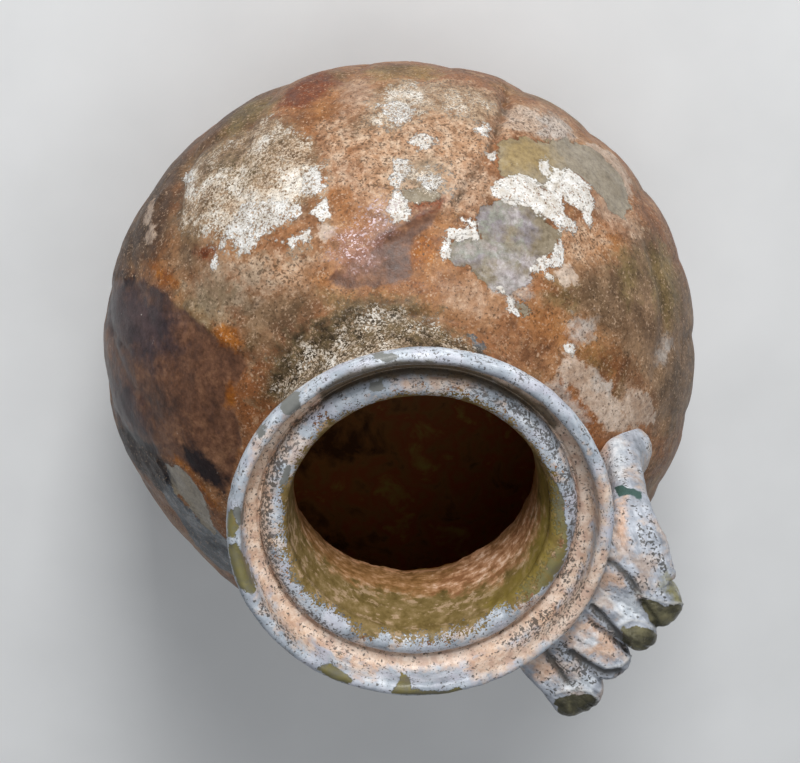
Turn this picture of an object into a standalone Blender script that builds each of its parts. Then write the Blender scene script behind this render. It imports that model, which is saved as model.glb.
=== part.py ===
# Glass ewer: a blown globular body with a short neck and a stepped rim, and an applied handle whose
# hot end was folded to and fro against the rim as a thumb rest. Metres, +Z up, origin on the axis at
# the middle of the standing face, +X towards the handle's stem.
import math

import bmesh
import bpy
from mathutils import Vector

# Driving sizes of the blown vessel
height = 0.168            # standing face to the top of the lip
bodyRadius = 0.0763       # widest part of the globe
bodyCentreHeight = 0.067  # height of the widest part
baseRadius = 0.024        # flat disc that it stands on
bodyWall = 0.0030         # blown wall of the globe
baseThickness = 0.0045    # glass is thicker under the floor
throatRadius = 0.0285     # narrowest way in
neckWall = 0.0036
neckDrop = 0.0240         # waist of the neck below the top
shoulderReach = 0.006     # how far the neck's foot sweeps out over the globe

# Driving sizes of the rim, from its outside inwards
rimRadius = 0.044
lipRound = 0.0017         # radius of the thin standing lip
rimBandDepth = 0.0038     # outer face of the rim, above the funnel under it
grooveRadius = 0.0382     # channel between the lip and the inner bead
grooveDrop = 0.0078
beadRadius = 0.0332       # middle of the broad inner bead
beadRound = 0.0031        # its half width
beadDrop = 0.0053         # its crest below the top of the lip

# Relief of the globe: the broad forms of hand work and the shallow lobes of its outline
ovalness = 0.0006         # a little wider across the handle than along it
ovalTurn = -5.0           # degrees
lobeCount = 22
lobeDepth = 0.0011
lobeTurn = 75.0           # azimuth of one valley between lobes, degrees
lobeSkew = 0.35           # lobes lean a little as they rise
lobeTop = 46.0            # the lobes die out at this latitude of the globe, degrees

reliefFadeStart = 0.29    # the relief fades out over this share of the way to the neck and the base
baseMargin = 6.0          # degrees above the standing face's edge that stay without relief

# Soft dents and swellings: azimuth and latitude in degrees, then reach and depth as shares of
# dentReach and dentDepth (a swelling has a negative depth)
dentReach = 0.020
dentDepth = 0.0010
softForms = [
    (-146.0, 26.0, 1.2, 2.4),    # flattened flank at the back left
    (160.0, 6.0, 0.7, -1.2),     # swelling beside the dark panel
    (105.0, 34.0, 1.0, 1.0),     # slack wall above the neck's root
    (106.0, 3.0, 0.75, 1.0),
    (30.0, 6.0, 1.0, -0.7),
    (128.0, 30.0, 1.0, -0.9),    # full cushion of the upper left panel
    (172.0, 36.0, 1.1, 0.9),     # flat lozenge panel
    (-70.0, -12.0, 1.3, 1.0),
    (-20.0, -30.0, 1.2, 0.8),
]

# Driving sizes of the handle
seatGap = 0.0003          # the handle's seat on the vessel
stemGap = 0.0150          # finger space between the neck and the stem
stemWidth = 0.0125
stemThickness = 0.0085
padWidth = 0.0150         # blob that was pressed on the shoulder
padLength = 0.0185
padSeat = 0.0020          # the pad lands this far outside the stem's middle line
foldDrop = 0.0100         # middle of the thumb rest's folds below the top of the lip
foldHeight = 0.0115       # how tall a fold stands, the width of the folded strap
foldReach = 0.0238        # longest fold past the rim
foldWidth = 0.0160        # widest fold, where it leaves the rim

# Folds of the thumb rest: azimuth at the rim and at the tip (degrees), reach as a share of
# foldReach, width at the rim and near the tip as shares of foldWidth, lift of the tip as a
# share of foldHeight
folds = [
    (-7.0, -18.4, 1.00, 1.00, 0.68, -0.09),
    (-18.6, -25.6, 0.92, 0.55, 0.49, 0.09),
    (-30.0, -35.0, 0.90, 0.61, 0.65, -0.05),
    (-43.0, -45.6, 1.00, 0.84, 0.86, -0.10),
]

# Path of the strap from the pad to the first fold: share of the rise from the pad to the folds,
# azimuth (degrees), share of the way out to the first fold's tip, width, thickness
strapPath = [
    (-0.12, -0.5, 0.00, padWidth, padLength),
    (0.02, -0.7, 0.00, 0.95 * padWidth, 0.90 * padLength),
    (0.14, -1.0, 0.00, 0.5 * (padWidth + stemWidth), 0.62 * padLength),
    (0.28, -1.3, 0.00, stemWidth, 1.08 * stemThickness),
    (0.46, -1.6, 0.00, stemWidth, stemThickness),
    (0.64, -2.2, 0.00, stemWidth, 0.94 * stemThickness),
    (0.79, -4.2, 0.03, stemWidth, stemThickness),
    (0.91, -8.2, 0.20, stemWidth, 1.10 * stemThickness),
    (0.99, -14.0, 0.62, 0.70 * stemWidth, 0.80 * stemThickness),
]

# Mesh fineness
turnSteps = 88
bodyRows = 16
innerRows = 8
ringPoints = 12
objectName = "glass_ewer"


def bodyHalfHeight():
    """The globe is an ellipse through its widest part and the edge of the standing face."""
    return bodyCentreHeight / math.sqrt(1.0 - (baseRadius / bodyRadius) ** 2)


def arc(centreR, centreZ, radius, startDeg, endDeg, count):
    """Points of a round stretch of a profile."""
    points = []
    for i in range(count + 1):
        angle = math.radians(startDeg + (endDeg - startDeg) * i / count)
        points.append((centreR + radius * math.cos(angle), centreZ + radius * math.sin(angle)))
    return points


def bend(start, corner, end, count):
    """Points of a sweep from start to end that leaves and arrives towards the corner."""
    points = []
    for i in range(1, count):
        t = i / count
        points.append(tuple((1 - t) ** 2 * a + 2 * t * (1 - t) * b + t * t * c
                            for a, b, c in zip(start, corner, end)))
    return points


def globe(radius, halfHeight, fromLat, toLat, count):
    """Points down the globe between two latitudes."""
    points = []
    for i in range(count + 1):
        lat = fromLat + (toLat - fromLat) * i / count
        points.append((radius * math.cos(lat), bodyCentreHeight + halfHeight * math.sin(lat)))
    return points


def outerProfile(swell=0.0):
    """The vessel's outside from the lip's crest down to the standing face's edge."""
    lipR = rimRadius - lipRound
    points = arc(lipR, height - lipRound, lipRound + swell, 90, 0, 2)
    waistR = throatRadius + neckWall + swell
    waistZ = height - neckDrop
    band = (rimRadius - 0.25 * lipRound + swell, height - rimBandDepth - 0.5 * swell)
    points.append(band)
    points += bend(band, (waistR, band[1] - 0.67 * (band[1] - waistZ)), (waistR, waistZ), 4)
    points.append((waistR, waistZ))
    outerR = bodyRadius + swell
    outerHalf = bodyHalfHeight() + swell
    topLat = math.acos((waistR + shoulderReach) / outerR)
    lowLat = -math.acos(baseRadius / bodyRadius)
    globePoints = globe(outerR, outerHalf, topLat, lowLat, bodyRows)
    points += bend((waistR, waistZ), (waistR, globePoints[0][1] + 0.1 * shoulderReach), globePoints[0], 2)
    points += globePoints
    return points


def innerProfile():
    """The vessel's inside from the middle of its floor up to the lip's crest."""
    innerR = bodyRadius - bodyWall
    innerHalf = bodyHalfHeight() - bodyWall
    floorLat = -math.asin((bodyCentreHeight - baseThickness) / innerHalf)
    shoulderR = throatRadius + shoulderReach
    topLat = math.acos(shoulderR / innerR)
    wall = globe(innerR, innerHalf, floorLat, topLat, innerRows)
    waist = (throatRadius, height - neckDrop)
    bead = arc(beadRadius, height - beadDrop - beadRound, beadRound, 195, 20, 5)
    groove = (grooveRadius, height - grooveDrop)
    flank = (rimRadius - 2 * lipRound, height - lipRound)
    points = [(0.0, baseThickness)]
    points += wall
    points += bend(wall[-1], (throatRadius, wall[-1][1]), waist, 2)
    points.append(waist)
    points.append((0.6 * throatRadius + 0.4 * bead[0][0], 0.5 * (waist[1] + bead[0][1])))
    points += bead
    points.append(groove)
    points.append((0.72 * groove[0] + 0.28 * flank[0], 0.5 * (groove[1] + flank[1])))
    points += arc(rimRadius - lipRound, height - lipRound, lipRound, 180, 120, 2)
    return points


def lobe(azimuth, latitude):
    """Shallow lobes side by side round the globe, zero at their crests, with sharp valleys."""
    fade = max(0.0, 1.0 - (latitude / lobeTop) ** 2)
    phase = 0.5 * lobeCount * math.radians(azimuth - lobeTurn - lobeSkew * latitude)
    return lobeDepth * fade * (math.sqrt(abs(math.sin(phase))) - 1.0)


def relief(azimuth, latitude):
    """How far the globe's wall stands out or in at a place, fading at the neck and the base."""
    push = ovalness * math.cos(2 * math.radians(azimuth - ovalTurn)) + lobe(azimuth, latitude)
    for centre, centreLat, reachShare, depthShare in softForms:
        turn = math.radians((azimuth - centre + 180) % 360 - 180)
        across = turn * math.cos(math.radians(0.5 * (latitude + centreLat))) * bodyRadius
        along = math.radians(latitude - centreLat) * bodyRadius
        spread = (across ** 2 + along ** 2) / (reachShare * dentReach) ** 2
        push -= depthShare * dentDepth * math.exp(-spread)
    return push


def shapeGlobe(mesh):
    """Moves the wall of the globe in and out by the relief, the inside with the outside."""
    centre = Vector((0, 0, bodyCentreHeight))
    topLat = math.degrees(math.acos((throatRadius + neckWall + shoulderReach) / bodyRadius))
    baseLat = math.degrees(math.acos(baseRadius / bodyRadius))
    for vertex in mesh.vertices:
        out = vertex.co - centre
        across = math.hypot(out.x, out.y)
        if across < 1e-6:
            continue
        latitude = math.degrees(math.atan2(out.z * bodyRadius / bodyHalfHeight(), across))
        if latitude >= 0:
            room = 1.0 - latitude / topLat
        else:
            room = 1.0 + latitude / (baseLat - baseMargin)
        fade = min(1.0, max(0.0, room / reliefFadeStart))
        if fade > 0:
            azimuth = math.degrees(math.atan2(out.y, out.x))
            vertex.co += out.normalized() * relief(azimuth, latitude) * fade


def material(name, colour, roughness):
    made = bpy.data.materials.new(name)
    made.use_nodes = True
    shader = made.node_tree.nodes["Principled BSDF"]
    shader.inputs["Base Color"].default_value = (*colour, 1.0)
    shader.inputs["Roughness"].default_value = roughness
    shader.inputs["Metallic"].default_value = 0.0
    return made


def place(mesh, name, collection):
    made = bpy.data.objects.new(name, mesh)
    collection.objects.link(made)
    return made


def turned(name, profile, collection):
    """A profile turned about Z, made a mesh and given the globe's relief."""
    mesh = bpy.data.meshes.new(name + "_profile")
    edges = [(i, i + 1) for i in range(len(profile) - 1)]
    mesh.from_pydata([(r, 0.0, z) for r, z in profile], edges, [])
    guide = place(mesh, name + "_profile", collection)
    screw = guide.modifiers.new("turn", "SCREW")
    screw.steps = turnSteps
    screw.render_steps = turnSteps
    screw.use_merge_vertices = True
    screw.merge_threshold = 0.00001
    bpy.context.view_layer.update()
    evaluated = guide.evaluated_get(bpy.context.evaluated_depsgraph_get())
    turnedMesh = bpy.data.meshes.new_from_object(evaluated)
    turnedMesh.name = name
    bpy.data.objects.remove(guide)
    shapeGlobe(turnedMesh)
    turnedMesh.shade_smooth()
    return place(turnedMesh, name, collection)


def polar(radius, azimuth, z):
    """A point by its distance from the axis, its azimuth in degrees and its height."""
    angle = math.radians(azimuth)
    return Vector((radius * math.cos(angle), radius * math.sin(angle), z))


def loft(name, sections, collection):
    """A closed body through oval sections: centre, side and up directions, half width, half height."""
    mesh = bpy.data.meshes.new(name)
    form = bmesh.new()
    rings = []
    for centre, side, up, halfWidth, halfHeight in sections:
        ring = []
        for i in range(ringPoints):
            angle = 2 * math.pi * i / ringPoints
            offset = side * halfWidth * math.cos(angle) + up * halfHeight * math.sin(angle)
            ring.append(form.verts.new(centre + offset))
        rings.append(ring)
    for near, far in zip(rings, rings[1:]):
        for i in range(ringPoints):
            j = (i + 1) % ringPoints
            form.faces.new((near[i], near[j], far[j], far[i]))
    form.faces.new(list(reversed(rings[0])))
    form.faces.new(rings[-1])
    bmesh.ops.recalc_face_normals(form, faces=form.faces)
    form.to_mesh(mesh)
    form.free()
    mesh.shade_smooth()
    return place(mesh, name, collection)


def foldSections(fold):
    """A fold of the strap, from inside the rim out to its round tip."""
    rimTurn, tipTurn, reachShare, rimShare, tipShare, liftShare = fold
    rimWidth = rimShare * foldWidth
    tipWidth = tipShare * foldWidth
    foldZ = height - foldDrop
    root = polar(throatRadius + neckWall + lipRound, rimTurn, foldZ)
    tip = polar(rimRadius + reachShare * foldReach, tipTurn, foldZ + liftShare * foldHeight)
    along = (tip - root).normalized()
    side = along.cross(Vector((0, 0, 1))).normalized()
    up = side.cross(along)
    length = (tip - root).length
    roundLength = 0.55 * foldHeight
    straight = 1.0 - roundLength / length
    sections = []
    for t in (-0.06, 0.3 * straight, 0.65 * straight, straight):
        width = rimWidth + (tipWidth - rimWidth) * max(t, 0.0)
        sections.append((root + along * length * t, side, up, width / 2, foldHeight / 2))
    for angle in (28, 52, 70, 83):
        t = straight + (1 - straight) * math.sin(math.radians(angle))
        scale = math.cos(math.radians(angle))
        sections.append((root + along * length * t, side, up, tipWidth / 2 * scale, foldHeight / 2 * scale))
    return sections


def stemSections():
    """The strap from the pad on the shoulder, up past the neck and over into the first fold."""
    neckRadius = throatRadius + neckWall
    stemR = neckRadius + stemGap + stemThickness / 2
    padLat = math.acos(min(0.98, (stemR + padSeat) / bodyRadius))
    padZ = bodyCentreHeight + bodyHalfHeight() * math.sin(padLat)
    rise = height - foldDrop - padZ
    wayOut = rimRadius + folds[0][2] * foldReach - stemR
    centres = [polar(stemR + out * wayOut, azimuth, padZ + up * rise) for up, azimuth, out, _, _ in strapPath]
    sections = []
    for i, (_, azimuth, _, width, thickness) in enumerate(strapPath):
        along = (centres[min(i + 1, len(centres) - 1)] - centres[max(i - 1, 0)]).normalized()
        outward = polar(1.0, azimuth, 0.0)
        side = along.cross(outward).normalized()
        through = side.cross(along)
        sections.append((centres[i], side, through, width / 2, thickness / 2))
    return sections


def join(target, other, operation):
    """A Boolean between two closed bodies; the other one becomes a hidden cutter."""
    step = target.modifiers.new(operation.lower() + "_" + other.name, "BOOLEAN")
    step.operation = operation
    step.solver = "EXACT"
    step.object = other
    other.hide_render = True
    other.display_type = "WIRE"


def makeVessel(collection):
    profile = innerProfile() + outerProfile() + [(0.0, 0.0)]
    vessel = turned("vessel", profile, collection)
    glass = material("weathered blown glass", (0.34, 0.22, 0.13), 0.5)
    vessel.data.materials.clear()
    vessel.data.materials.append(glass)
    return vessel


def makeHandle(collection, cutters):
    handle = loft("handle", stemSections(), collection)
    for number, fold in enumerate(folds, 1):
        join(handle, loft("fold_%d" % number, foldSections(fold), cutters), "UNION")
    solidProfile = [(0.0, height + seatGap)] + outerProfile(seatGap) + [(0.0, -seatGap)]
    join(handle, turned("seat_cutter", solidProfile, cutters), "DIFFERENCE")
    glass = material("weathered trailed glass", (0.55, 0.53, 0.48), 0.45)
    handle.data.materials.append(glass)
    return handle


def main():
    for old in list(bpy.data.objects):
        bpy.data.objects.remove(old, do_unlink=True)
    collection = bpy.data.collections.new(objectName)
    cutters = bpy.data.collections.new("cutters")
    bpy.context.scene.collection.children.link(collection)
    bpy.context.scene.collection.children.link(cutters)
    makeVessel(collection)
    makeHandle(collection, cutters)


main()
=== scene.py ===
import math

import bpy
import numpy as np
from mathutils import Matrix, Vector, noise


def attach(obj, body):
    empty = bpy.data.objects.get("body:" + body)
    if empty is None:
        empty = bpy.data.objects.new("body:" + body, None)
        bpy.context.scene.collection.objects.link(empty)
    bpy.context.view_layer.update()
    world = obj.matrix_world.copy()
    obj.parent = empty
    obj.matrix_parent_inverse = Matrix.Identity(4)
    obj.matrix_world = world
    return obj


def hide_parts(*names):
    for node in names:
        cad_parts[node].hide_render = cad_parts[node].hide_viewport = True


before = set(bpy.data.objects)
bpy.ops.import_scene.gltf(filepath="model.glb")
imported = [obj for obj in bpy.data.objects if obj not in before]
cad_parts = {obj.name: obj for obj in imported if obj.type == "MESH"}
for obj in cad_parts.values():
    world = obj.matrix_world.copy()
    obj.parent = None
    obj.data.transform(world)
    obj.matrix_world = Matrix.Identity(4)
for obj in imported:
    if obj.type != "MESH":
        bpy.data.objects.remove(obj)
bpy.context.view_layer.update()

print("frame loaded:", ", ".join(sorted(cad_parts)))


# Shared helpers

def fromHex(code):
    # sRGB hex to the linear colour that a socket takes
    parts = [int(code[i:i + 2], 16) / 255 for i in (0, 2, 4)]
    return tuple(p / 12.92 if p <= 0.04045 else ((p + 0.055) / 1.055) ** 2.4 for p in parts) + (1.0,)


def perMetre(millimetres):
    # pattern scale for a node on Object coordinates, from the size of one patch of the pattern
    return 1000.0 / millimetres


def addNode(tree, kind, settings=None, links=None):
    # a number or a capital letter names a socket, and a small letter one of the node's own settings
    node = tree.nodes.new("ShaderNode" + kind)
    for name, value in (settings or {}).items():
        if name == "stops":
            for i, (position, code) in enumerate(value):
                stops = node.color_ramp.elements
                stop = stops[i] if i < 2 else stops.new(position)
                stop.position, stop.color = position, fromHex(code)
        elif isinstance(name, int) or name[0].isupper():
            node.inputs[name].default_value = fromHex(value) if isinstance(value, str) else value
        else:
            setattr(node, name, value)
    for name, source in (links or {}).items():
        tree.links.new(source.outputs[0] if hasattr(source, "outputs") else source, node.inputs[name])
    return node


def smoothStep(values, low, high):
    t = np.clip((values - low) / (high - low), 0, 1)
    return t * t * (3 - 2 * t)


def readPoints(mesh, field="co"):
    points = np.empty(len(mesh.vertices) * 3)
    if field == "co":
        mesh.vertices.foreach_get("co", points)
    else:
        mesh.vertex_normals.foreach_get("vector", points)
    return points.reshape(-1, 3)


def writePoints(mesh, points):
    mesh.vertices.foreach_set("co", points.astype(np.float32).ravel())
    mesh.update()


def writeField(mesh, name, values):
    layer = mesh.attributes.get(name) or mesh.attributes.new(name, "FLOAT", "POINT")
    layer.data.foreach_set("value", np.asarray(values, np.float32))


def lumps(points, sizeMm, octaves=3, offset=0.0):
    # soft noise about zero, with lumps of that size
    scale = perMetre(sizeMm)
    shift = Vector((offset, 0.37 * offset, -0.61 * offset))
    return np.array([noise.fractal(Vector(p) * scale + shift, 0.9, 2.1, octaves) for p in points])


def selectOnly(piece):
    bpy.ops.object.select_all(action="DESELECT")
    piece.select_set(True)
    bpy.context.view_layer.objects.active = piece


# The camera of the photograph, found from the rings of the mouth and the outline of the globe
photo = {
    "width": 800,
    "height": 763,                        # its frame, in pixels
    "focalPixels": 2600.0,                # a long lens
    "mouthPlace": (0.0047, 0.0337, 0.5876),   # middle of the mouth: right, down and ahead of the camera
    "mouthAxis": (0.0477, 0.4122),        # where the mouth points: its parts right and down
    "turn": 7.0,                          # degrees from the handle's stem to the picture's right
    "sensor": 36.0,
    "mouthHeight": 0.168,
}


def findCamera():
    # the camera's place and its right, down and ahead directions, in the row frame
    across, down = photo["mouthAxis"]
    axis = np.array([across, down, -math.sqrt(1 - across ** 2 - down ** 2)])
    right = np.array([1.0, 0.0, 0.0]) - axis * axis[0]
    right /= np.linalg.norm(right)
    upward = np.cross(axis, right)
    upward *= -np.sign(upward[1])
    c, s = math.cos(math.radians(photo["turn"])), math.sin(math.radians(photo["turn"]))
    rows = np.stack([c * right - s * upward, s * right + c * upward, axis])
    foot = np.array(photo["mouthPlace"]) - photo["mouthHeight"] * axis
    return rows @ -foot, rows[:, 0], rows[:, 1], rows[:, 2]


cameraPlace, cameraRight, cameraDown, cameraAhead = findCamera()


def sightLine(pixel):
    across = (pixel[0] - photo["width"] / 2) / photo["focalPixels"]
    down = (pixel[1] - photo["height"] / 2) / photo["focalPixels"]
    return cameraAhead + across * cameraRight + down * cameraDown


def inPhoto(points):
    # where points of the row frame show in the photograph, in its pixels
    away = points - cameraPlace
    depth = away @ cameraAhead
    return np.stack([photo["width"] / 2 + photo["focalPixels"] * (away @ cameraRight) / depth,
                     photo["height"] / 2 + photo["focalPixels"] * (away @ cameraDown) / depth], 1)


pixelSize = 1000 * photo["mouthPlace"][2] / photo["focalPixels"]     # mm that a pixel spans at the mouth


# Vessel: the blown globe, its neck and the stepped mouth

vessel = {
    "height": 0.168,
    "bodyRadius": 0.0763,
    "bodyCentreHeight": 0.067,
    "baseRadius": 0.024,
    "bodyWall": 0.0030,
    "baseThickness": 0.0045,
    "throatRadius": 0.0285,
    "neckWall": 0.0036,
    "neckDrop": 0.0240,
    "shoulderReach": 0.006,
    "rimRadius": 0.044,
    "lipRound": 0.0017,
    "rimBandDepth": 0.0038,
    "channelRadius": 0.0399,      # the channel's outer corner, under the lip
    "channelDrop": 0.0078,
    "creviceDepth": 0.0010,       # a fine crevice where the bead meets the channel
    "beadRadius": 0.0332,
    "beadRound": 0.0031,
    "beadDrop": 0.0053,
    "turnSteps": 376,             # faces round the axis
    "upperStep": 0.0011,          # length of a face down the upper globe
    "lowerStep": 0.0024,
    "beltTurn": -0.12,            # where the longer faces start, in radians from the globe's middle
    "mouthStep": 0.0006,
    "neckStep": 0.0010,
    "insideStep": 0.0050,
}

# Broad forms of hand work, as in the solid
lobes = {"count": 22, "depth": 0.0011, "turn": 75.0, "skew": 0.35, "top": 46.0,
         "ovalness": 0.0006, "ovalTurn": -5.0, "fadeStart": 0.29, "baseMargin": 6.0}
dentReach = 0.020
dentDepth = 0.0010
softForms = [                     # azimuth, latitude (degrees), reach and depth as shares of the two above
    (-146.0, 26.0, 1.2, 2.4),
    (160.0, 6.0, 0.7, -1.2),
    (105.0, 34.0, 1.0, 1.0),
    (106.0, 3.0, 0.75, 1.0),
    (30.0, 6.0, 1.0, -0.7),
    (128.0, 30.0, 1.0, -0.9),
    (172.0, 36.0, 1.1, 0.9),
    (-70.0, -12.0, 1.3, 1.0),
    (-20.0, -30.0, 1.2, 0.8),
]


def roundStretch(centre, radius, fromDegrees, toDegrees, step):
    count = max(3, round(abs(math.radians(toDegrees - fromDegrees)) * radius / step))
    turns = [math.radians(fromDegrees + (toDegrees - fromDegrees) * i / count) for i in range(count + 1)]
    return [(centre[0] + radius * math.cos(a), centre[1] + radius * math.sin(a)) for a in turns]


def sweptStretch(start, corner, end, step):
    length = math.dist(start, corner) + math.dist(corner, end)
    count = max(2, round(0.9 * length / step))
    points = []
    for i in range(count + 1):
        t = i / count
        points.append(tuple((1 - t) ** 2 * a + 2 * t * (1 - t) * b + t * t * c
                            for a, b, c in zip(start, corner, end)))
    return points


def globeStretch(radius, halfHeight, fromTurn, toTurn, step):
    count = max(2, round(abs(toTurn - fromTurn) * radius / step))
    turns = [fromTurn + (toTurn - fromTurn) * i / count for i in range(count + 1)]
    return [(radius * math.cos(a), vessel["bodyCentreHeight"] + halfHeight * math.sin(a)) for a in turns]


def globeHalfHeight():
    return vessel["bodyCentreHeight"] / math.sqrt(1 - (vessel["baseRadius"] / vessel["bodyRadius"]) ** 2)


def vesselProfile():
    # from the middle of the floor inside, up and over the lip, down the outside to the standing face
    v = vessel
    top, fine, neck = v["height"], v["mouthStep"], v["neckStep"]
    innerRadius = v["bodyRadius"] - v["bodyWall"]
    innerHalf = globeHalfHeight() - v["bodyWall"]
    floorTurn = -math.asin((v["bodyCentreHeight"] - v["baseThickness"]) / innerHalf)
    wallTurn = math.acos((v["throatRadius"] + v["shoulderReach"]) / innerRadius)
    inner = globeStretch(innerRadius, innerHalf, floorTurn, wallTurn, v["insideStep"])
    waist = (v["throatRadius"], top - v["neckDrop"])
    beadCentre = (v["beadRadius"], top - v["beadDrop"] - v["beadRound"])
    bead = roundStretch(beadCentre, v["beadRound"], 195, -5, fine)
    floorZ = top - v["channelDrop"]
    floorStart = (bead[-1][0] + 1.1 * v["creviceDepth"], floorZ)
    flank = (v["rimRadius"] - 2.15 * v["lipRound"], floorZ + 1.4 * v["lipRound"])
    lipCentre = (v["rimRadius"] - v["lipRound"], top - v["lipRound"])
    lip = roundStretch(lipCentre, v["lipRound"], 180, 0, fine)
    band = (v["rimRadius"] - 0.25 * v["lipRound"], top - v["rimBandDepth"])
    outerWaist = (v["throatRadius"] + v["neckWall"], top - v["neckDrop"])
    shoulderTurn = math.acos((outerWaist[0] + v["shoulderReach"]) / v["bodyRadius"])
    footTurn = -math.acos(v["baseRadius"] / v["bodyRadius"])
    half = globeHalfHeight()
    shoulder = globeStretch(v["bodyRadius"], half, shoulderTurn, v["beltTurn"], v["upperStep"])
    belly = globeStretch(v["bodyRadius"], half, v["beltTurn"], footTurn, v["lowerStep"])
    stretches = [
        [(0.0, v["baseThickness"]), (0.5 * inner[0][0], v["baseThickness"])],
        inner,
        sweptStretch(inner[-1], (waist[0], inner[-1][1] + 0.2 * v["shoulderReach"]), waist, 2 * neck),
        sweptStretch(waist, (waist[0], 0.5 * (waist[1] + bead[0][1])), bead[0], neck),
        bead,
        sweptStretch(bead[-1], (bead[-1][0] + 0.2 * v["creviceDepth"], floorZ - 1.9 * v["creviceDepth"]),
                     floorStart, 0.6 * fine),
        sweptStretch(floorStart, (v["channelRadius"], floorZ + 0.1 * v["lipRound"]), flank, fine),
        sweptStretch(flank, (0.5 * (flank[0] + lip[0][0]), 0.5 * (flank[1] + lip[0][1])), lip[0], fine),
        lip,
        sweptStretch(lip[-1], (lip[-1][0], band[1]), band, fine),
        sweptStretch(band, (outerWaist[0], band[1] - 0.67 * (band[1] - outerWaist[1])),
                     outerWaist, 1.5 * neck),
        sweptStretch(outerWaist, (outerWaist[0], shoulder[0][1] + 0.1 * v["shoulderReach"]),
                     shoulder[0], neck),
        shoulder,
        belly,
        [(0.6 * v["baseRadius"], 0.0), (0.25 * v["baseRadius"], 0.0), (0.0, 0.0)],
    ]
    points = []
    for stretch in stretches:
        for point in stretch:
            if not points or math.dist(points[-1], point) > 0.1 * fine:
                points.append(point)
    return points


def spinProfile(name, profile, steps, withRun=False):
    # one corner is drawn out along the profile, and the line is then spun round the axis
    bpy.ops.object.select_all(action="DESELECT")
    bpy.ops.mesh.primitive_plane_add(size=0.001, location=(0, 0, 0))
    piece = bpy.context.object
    piece.name = piece.data.name = name
    bpy.ops.object.mode_set(mode="EDIT")
    bpy.ops.mesh.select_all(action="SELECT")
    bpy.ops.mesh.merge(type="CENTER")
    bpy.ops.transform.translate(value=(profile[0][0], 0, profile[0][1]))
    for near, far in zip(profile, profile[1:]):
        move = (far[0] - near[0], 0, far[1] - near[1])
        bpy.ops.mesh.extrude_region_move(TRANSFORM_OT_translate={"value": move})
    bpy.ops.object.mode_set(mode="OBJECT")
    if withRun:
        writeRun(piece.data, profile)
    bpy.ops.object.mode_set(mode="EDIT")
    bpy.ops.mesh.select_all(action="SELECT")
    bpy.ops.mesh.spin(steps=steps, angle=2 * math.pi, center=(0, 0, 0), axis=(0, 0, 1))
    bpy.ops.mesh.select_all(action="SELECT")
    bpy.ops.mesh.remove_doubles(threshold=0.00002)
    bpy.ops.mesh.normals_make_consistent(inside=False)
    bpy.ops.object.mode_set(mode="OBJECT")
    return piece


def writeRun(mesh, profile):
    # mm along the profile from the crest of the lip: below zero going in, above zero going down the outside
    lengths = np.cumsum([0.0] + [math.dist(a, b) for a, b in zip(profile, profile[1:])])
    crest = max(range(len(profile)), key=lambda i: profile[i][1])
    writeField(mesh, "run", 1000 * (lengths - lengths[crest]))


def globeRelief(azimuth, latitude):
    # the lobes, the soft dents and the slight oval of the globe, in metres
    push = lobes["ovalness"] * np.cos(2 * np.radians(azimuth - lobes["ovalTurn"]))
    fade = np.maximum(0, 1 - (latitude / lobes["top"]) ** 2)
    phase = 0.5 * lobes["count"] * np.radians(azimuth - lobes["turn"] - lobes["skew"] * latitude)
    push += lobes["depth"] * fade * (np.sqrt(np.abs(np.sin(phase))) - 1)
    for centre, centreLatitude, reachShare, depthShare in softForms:
        turn = np.radians((azimuth - centre + 180) % 360 - 180)
        across = turn * np.cos(np.radians(0.5 * (latitude + centreLatitude))) * vessel["bodyRadius"]
        along = np.radians(latitude - centreLatitude) * vessel["bodyRadius"]
        push -= depthShare * dentDepth * np.exp(-(across ** 2 + along ** 2) / (reachShare * dentReach) ** 2)
    return push


def shapeGlobe(points):
    # moves both walls of the globe in and out together
    middle = np.array([0, 0, vessel["bodyCentreHeight"]])
    out = points - middle
    across = np.hypot(out[:, 0], out[:, 1])
    latitude = np.degrees(np.arctan2(out[:, 2] * vessel["bodyRadius"] / globeHalfHeight(), across))
    azimuth = np.degrees(np.arctan2(out[:, 1], out[:, 0]))
    outerWaist = vessel["throatRadius"] + vessel["neckWall"]
    top = math.degrees(math.acos((outerWaist + vessel["shoulderReach"]) / vessel["bodyRadius"]))
    foot = math.degrees(math.acos(vessel["baseRadius"] / vessel["bodyRadius"])) - lobes["baseMargin"]
    room = np.where(latitude >= 0, 1 - latitude / top, 1 + latitude / foot)
    fade = np.clip(room / lobes["fadeStart"], 0, 1) * (across > 1e-6)
    size = np.maximum(np.linalg.norm(out, axis=1), 1e-9)
    return points + out / size[:, None] * (globeRelief(azimuth, latitude) * fade)[:, None]


# Places on the globe are read off the photograph: a sight line meets the globe, or passes nearest to it

globeStretchZ = vessel["bodyRadius"] / globeHalfHeight()


def globeDirection(points):
    out = np.asarray(points) - np.array([0, 0, vessel["bodyCentreHeight"]])
    out = out * np.array([1, 1, globeStretchZ])
    return out / np.maximum(np.linalg.norm(out, axis=-1, keepdims=True), 1e-9)


def onGlobe(pixel):
    # the direction, from the globe's middle, of what shows at a pixel
    squash = np.array([1, 1, globeStretchZ])
    start = (cameraPlace - np.array([0, 0, vessel["bodyCentreHeight"]])) * squash
    line = sightLine(pixel) * squash
    line /= np.linalg.norm(line)
    nearest = -start @ line
    gap = start @ start - nearest ** 2
    enter = nearest - math.sqrt(max(0.0, vessel["bodyRadius"] ** 2 - gap))
    place = start + enter * line
    return place / np.linalg.norm(place)


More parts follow.
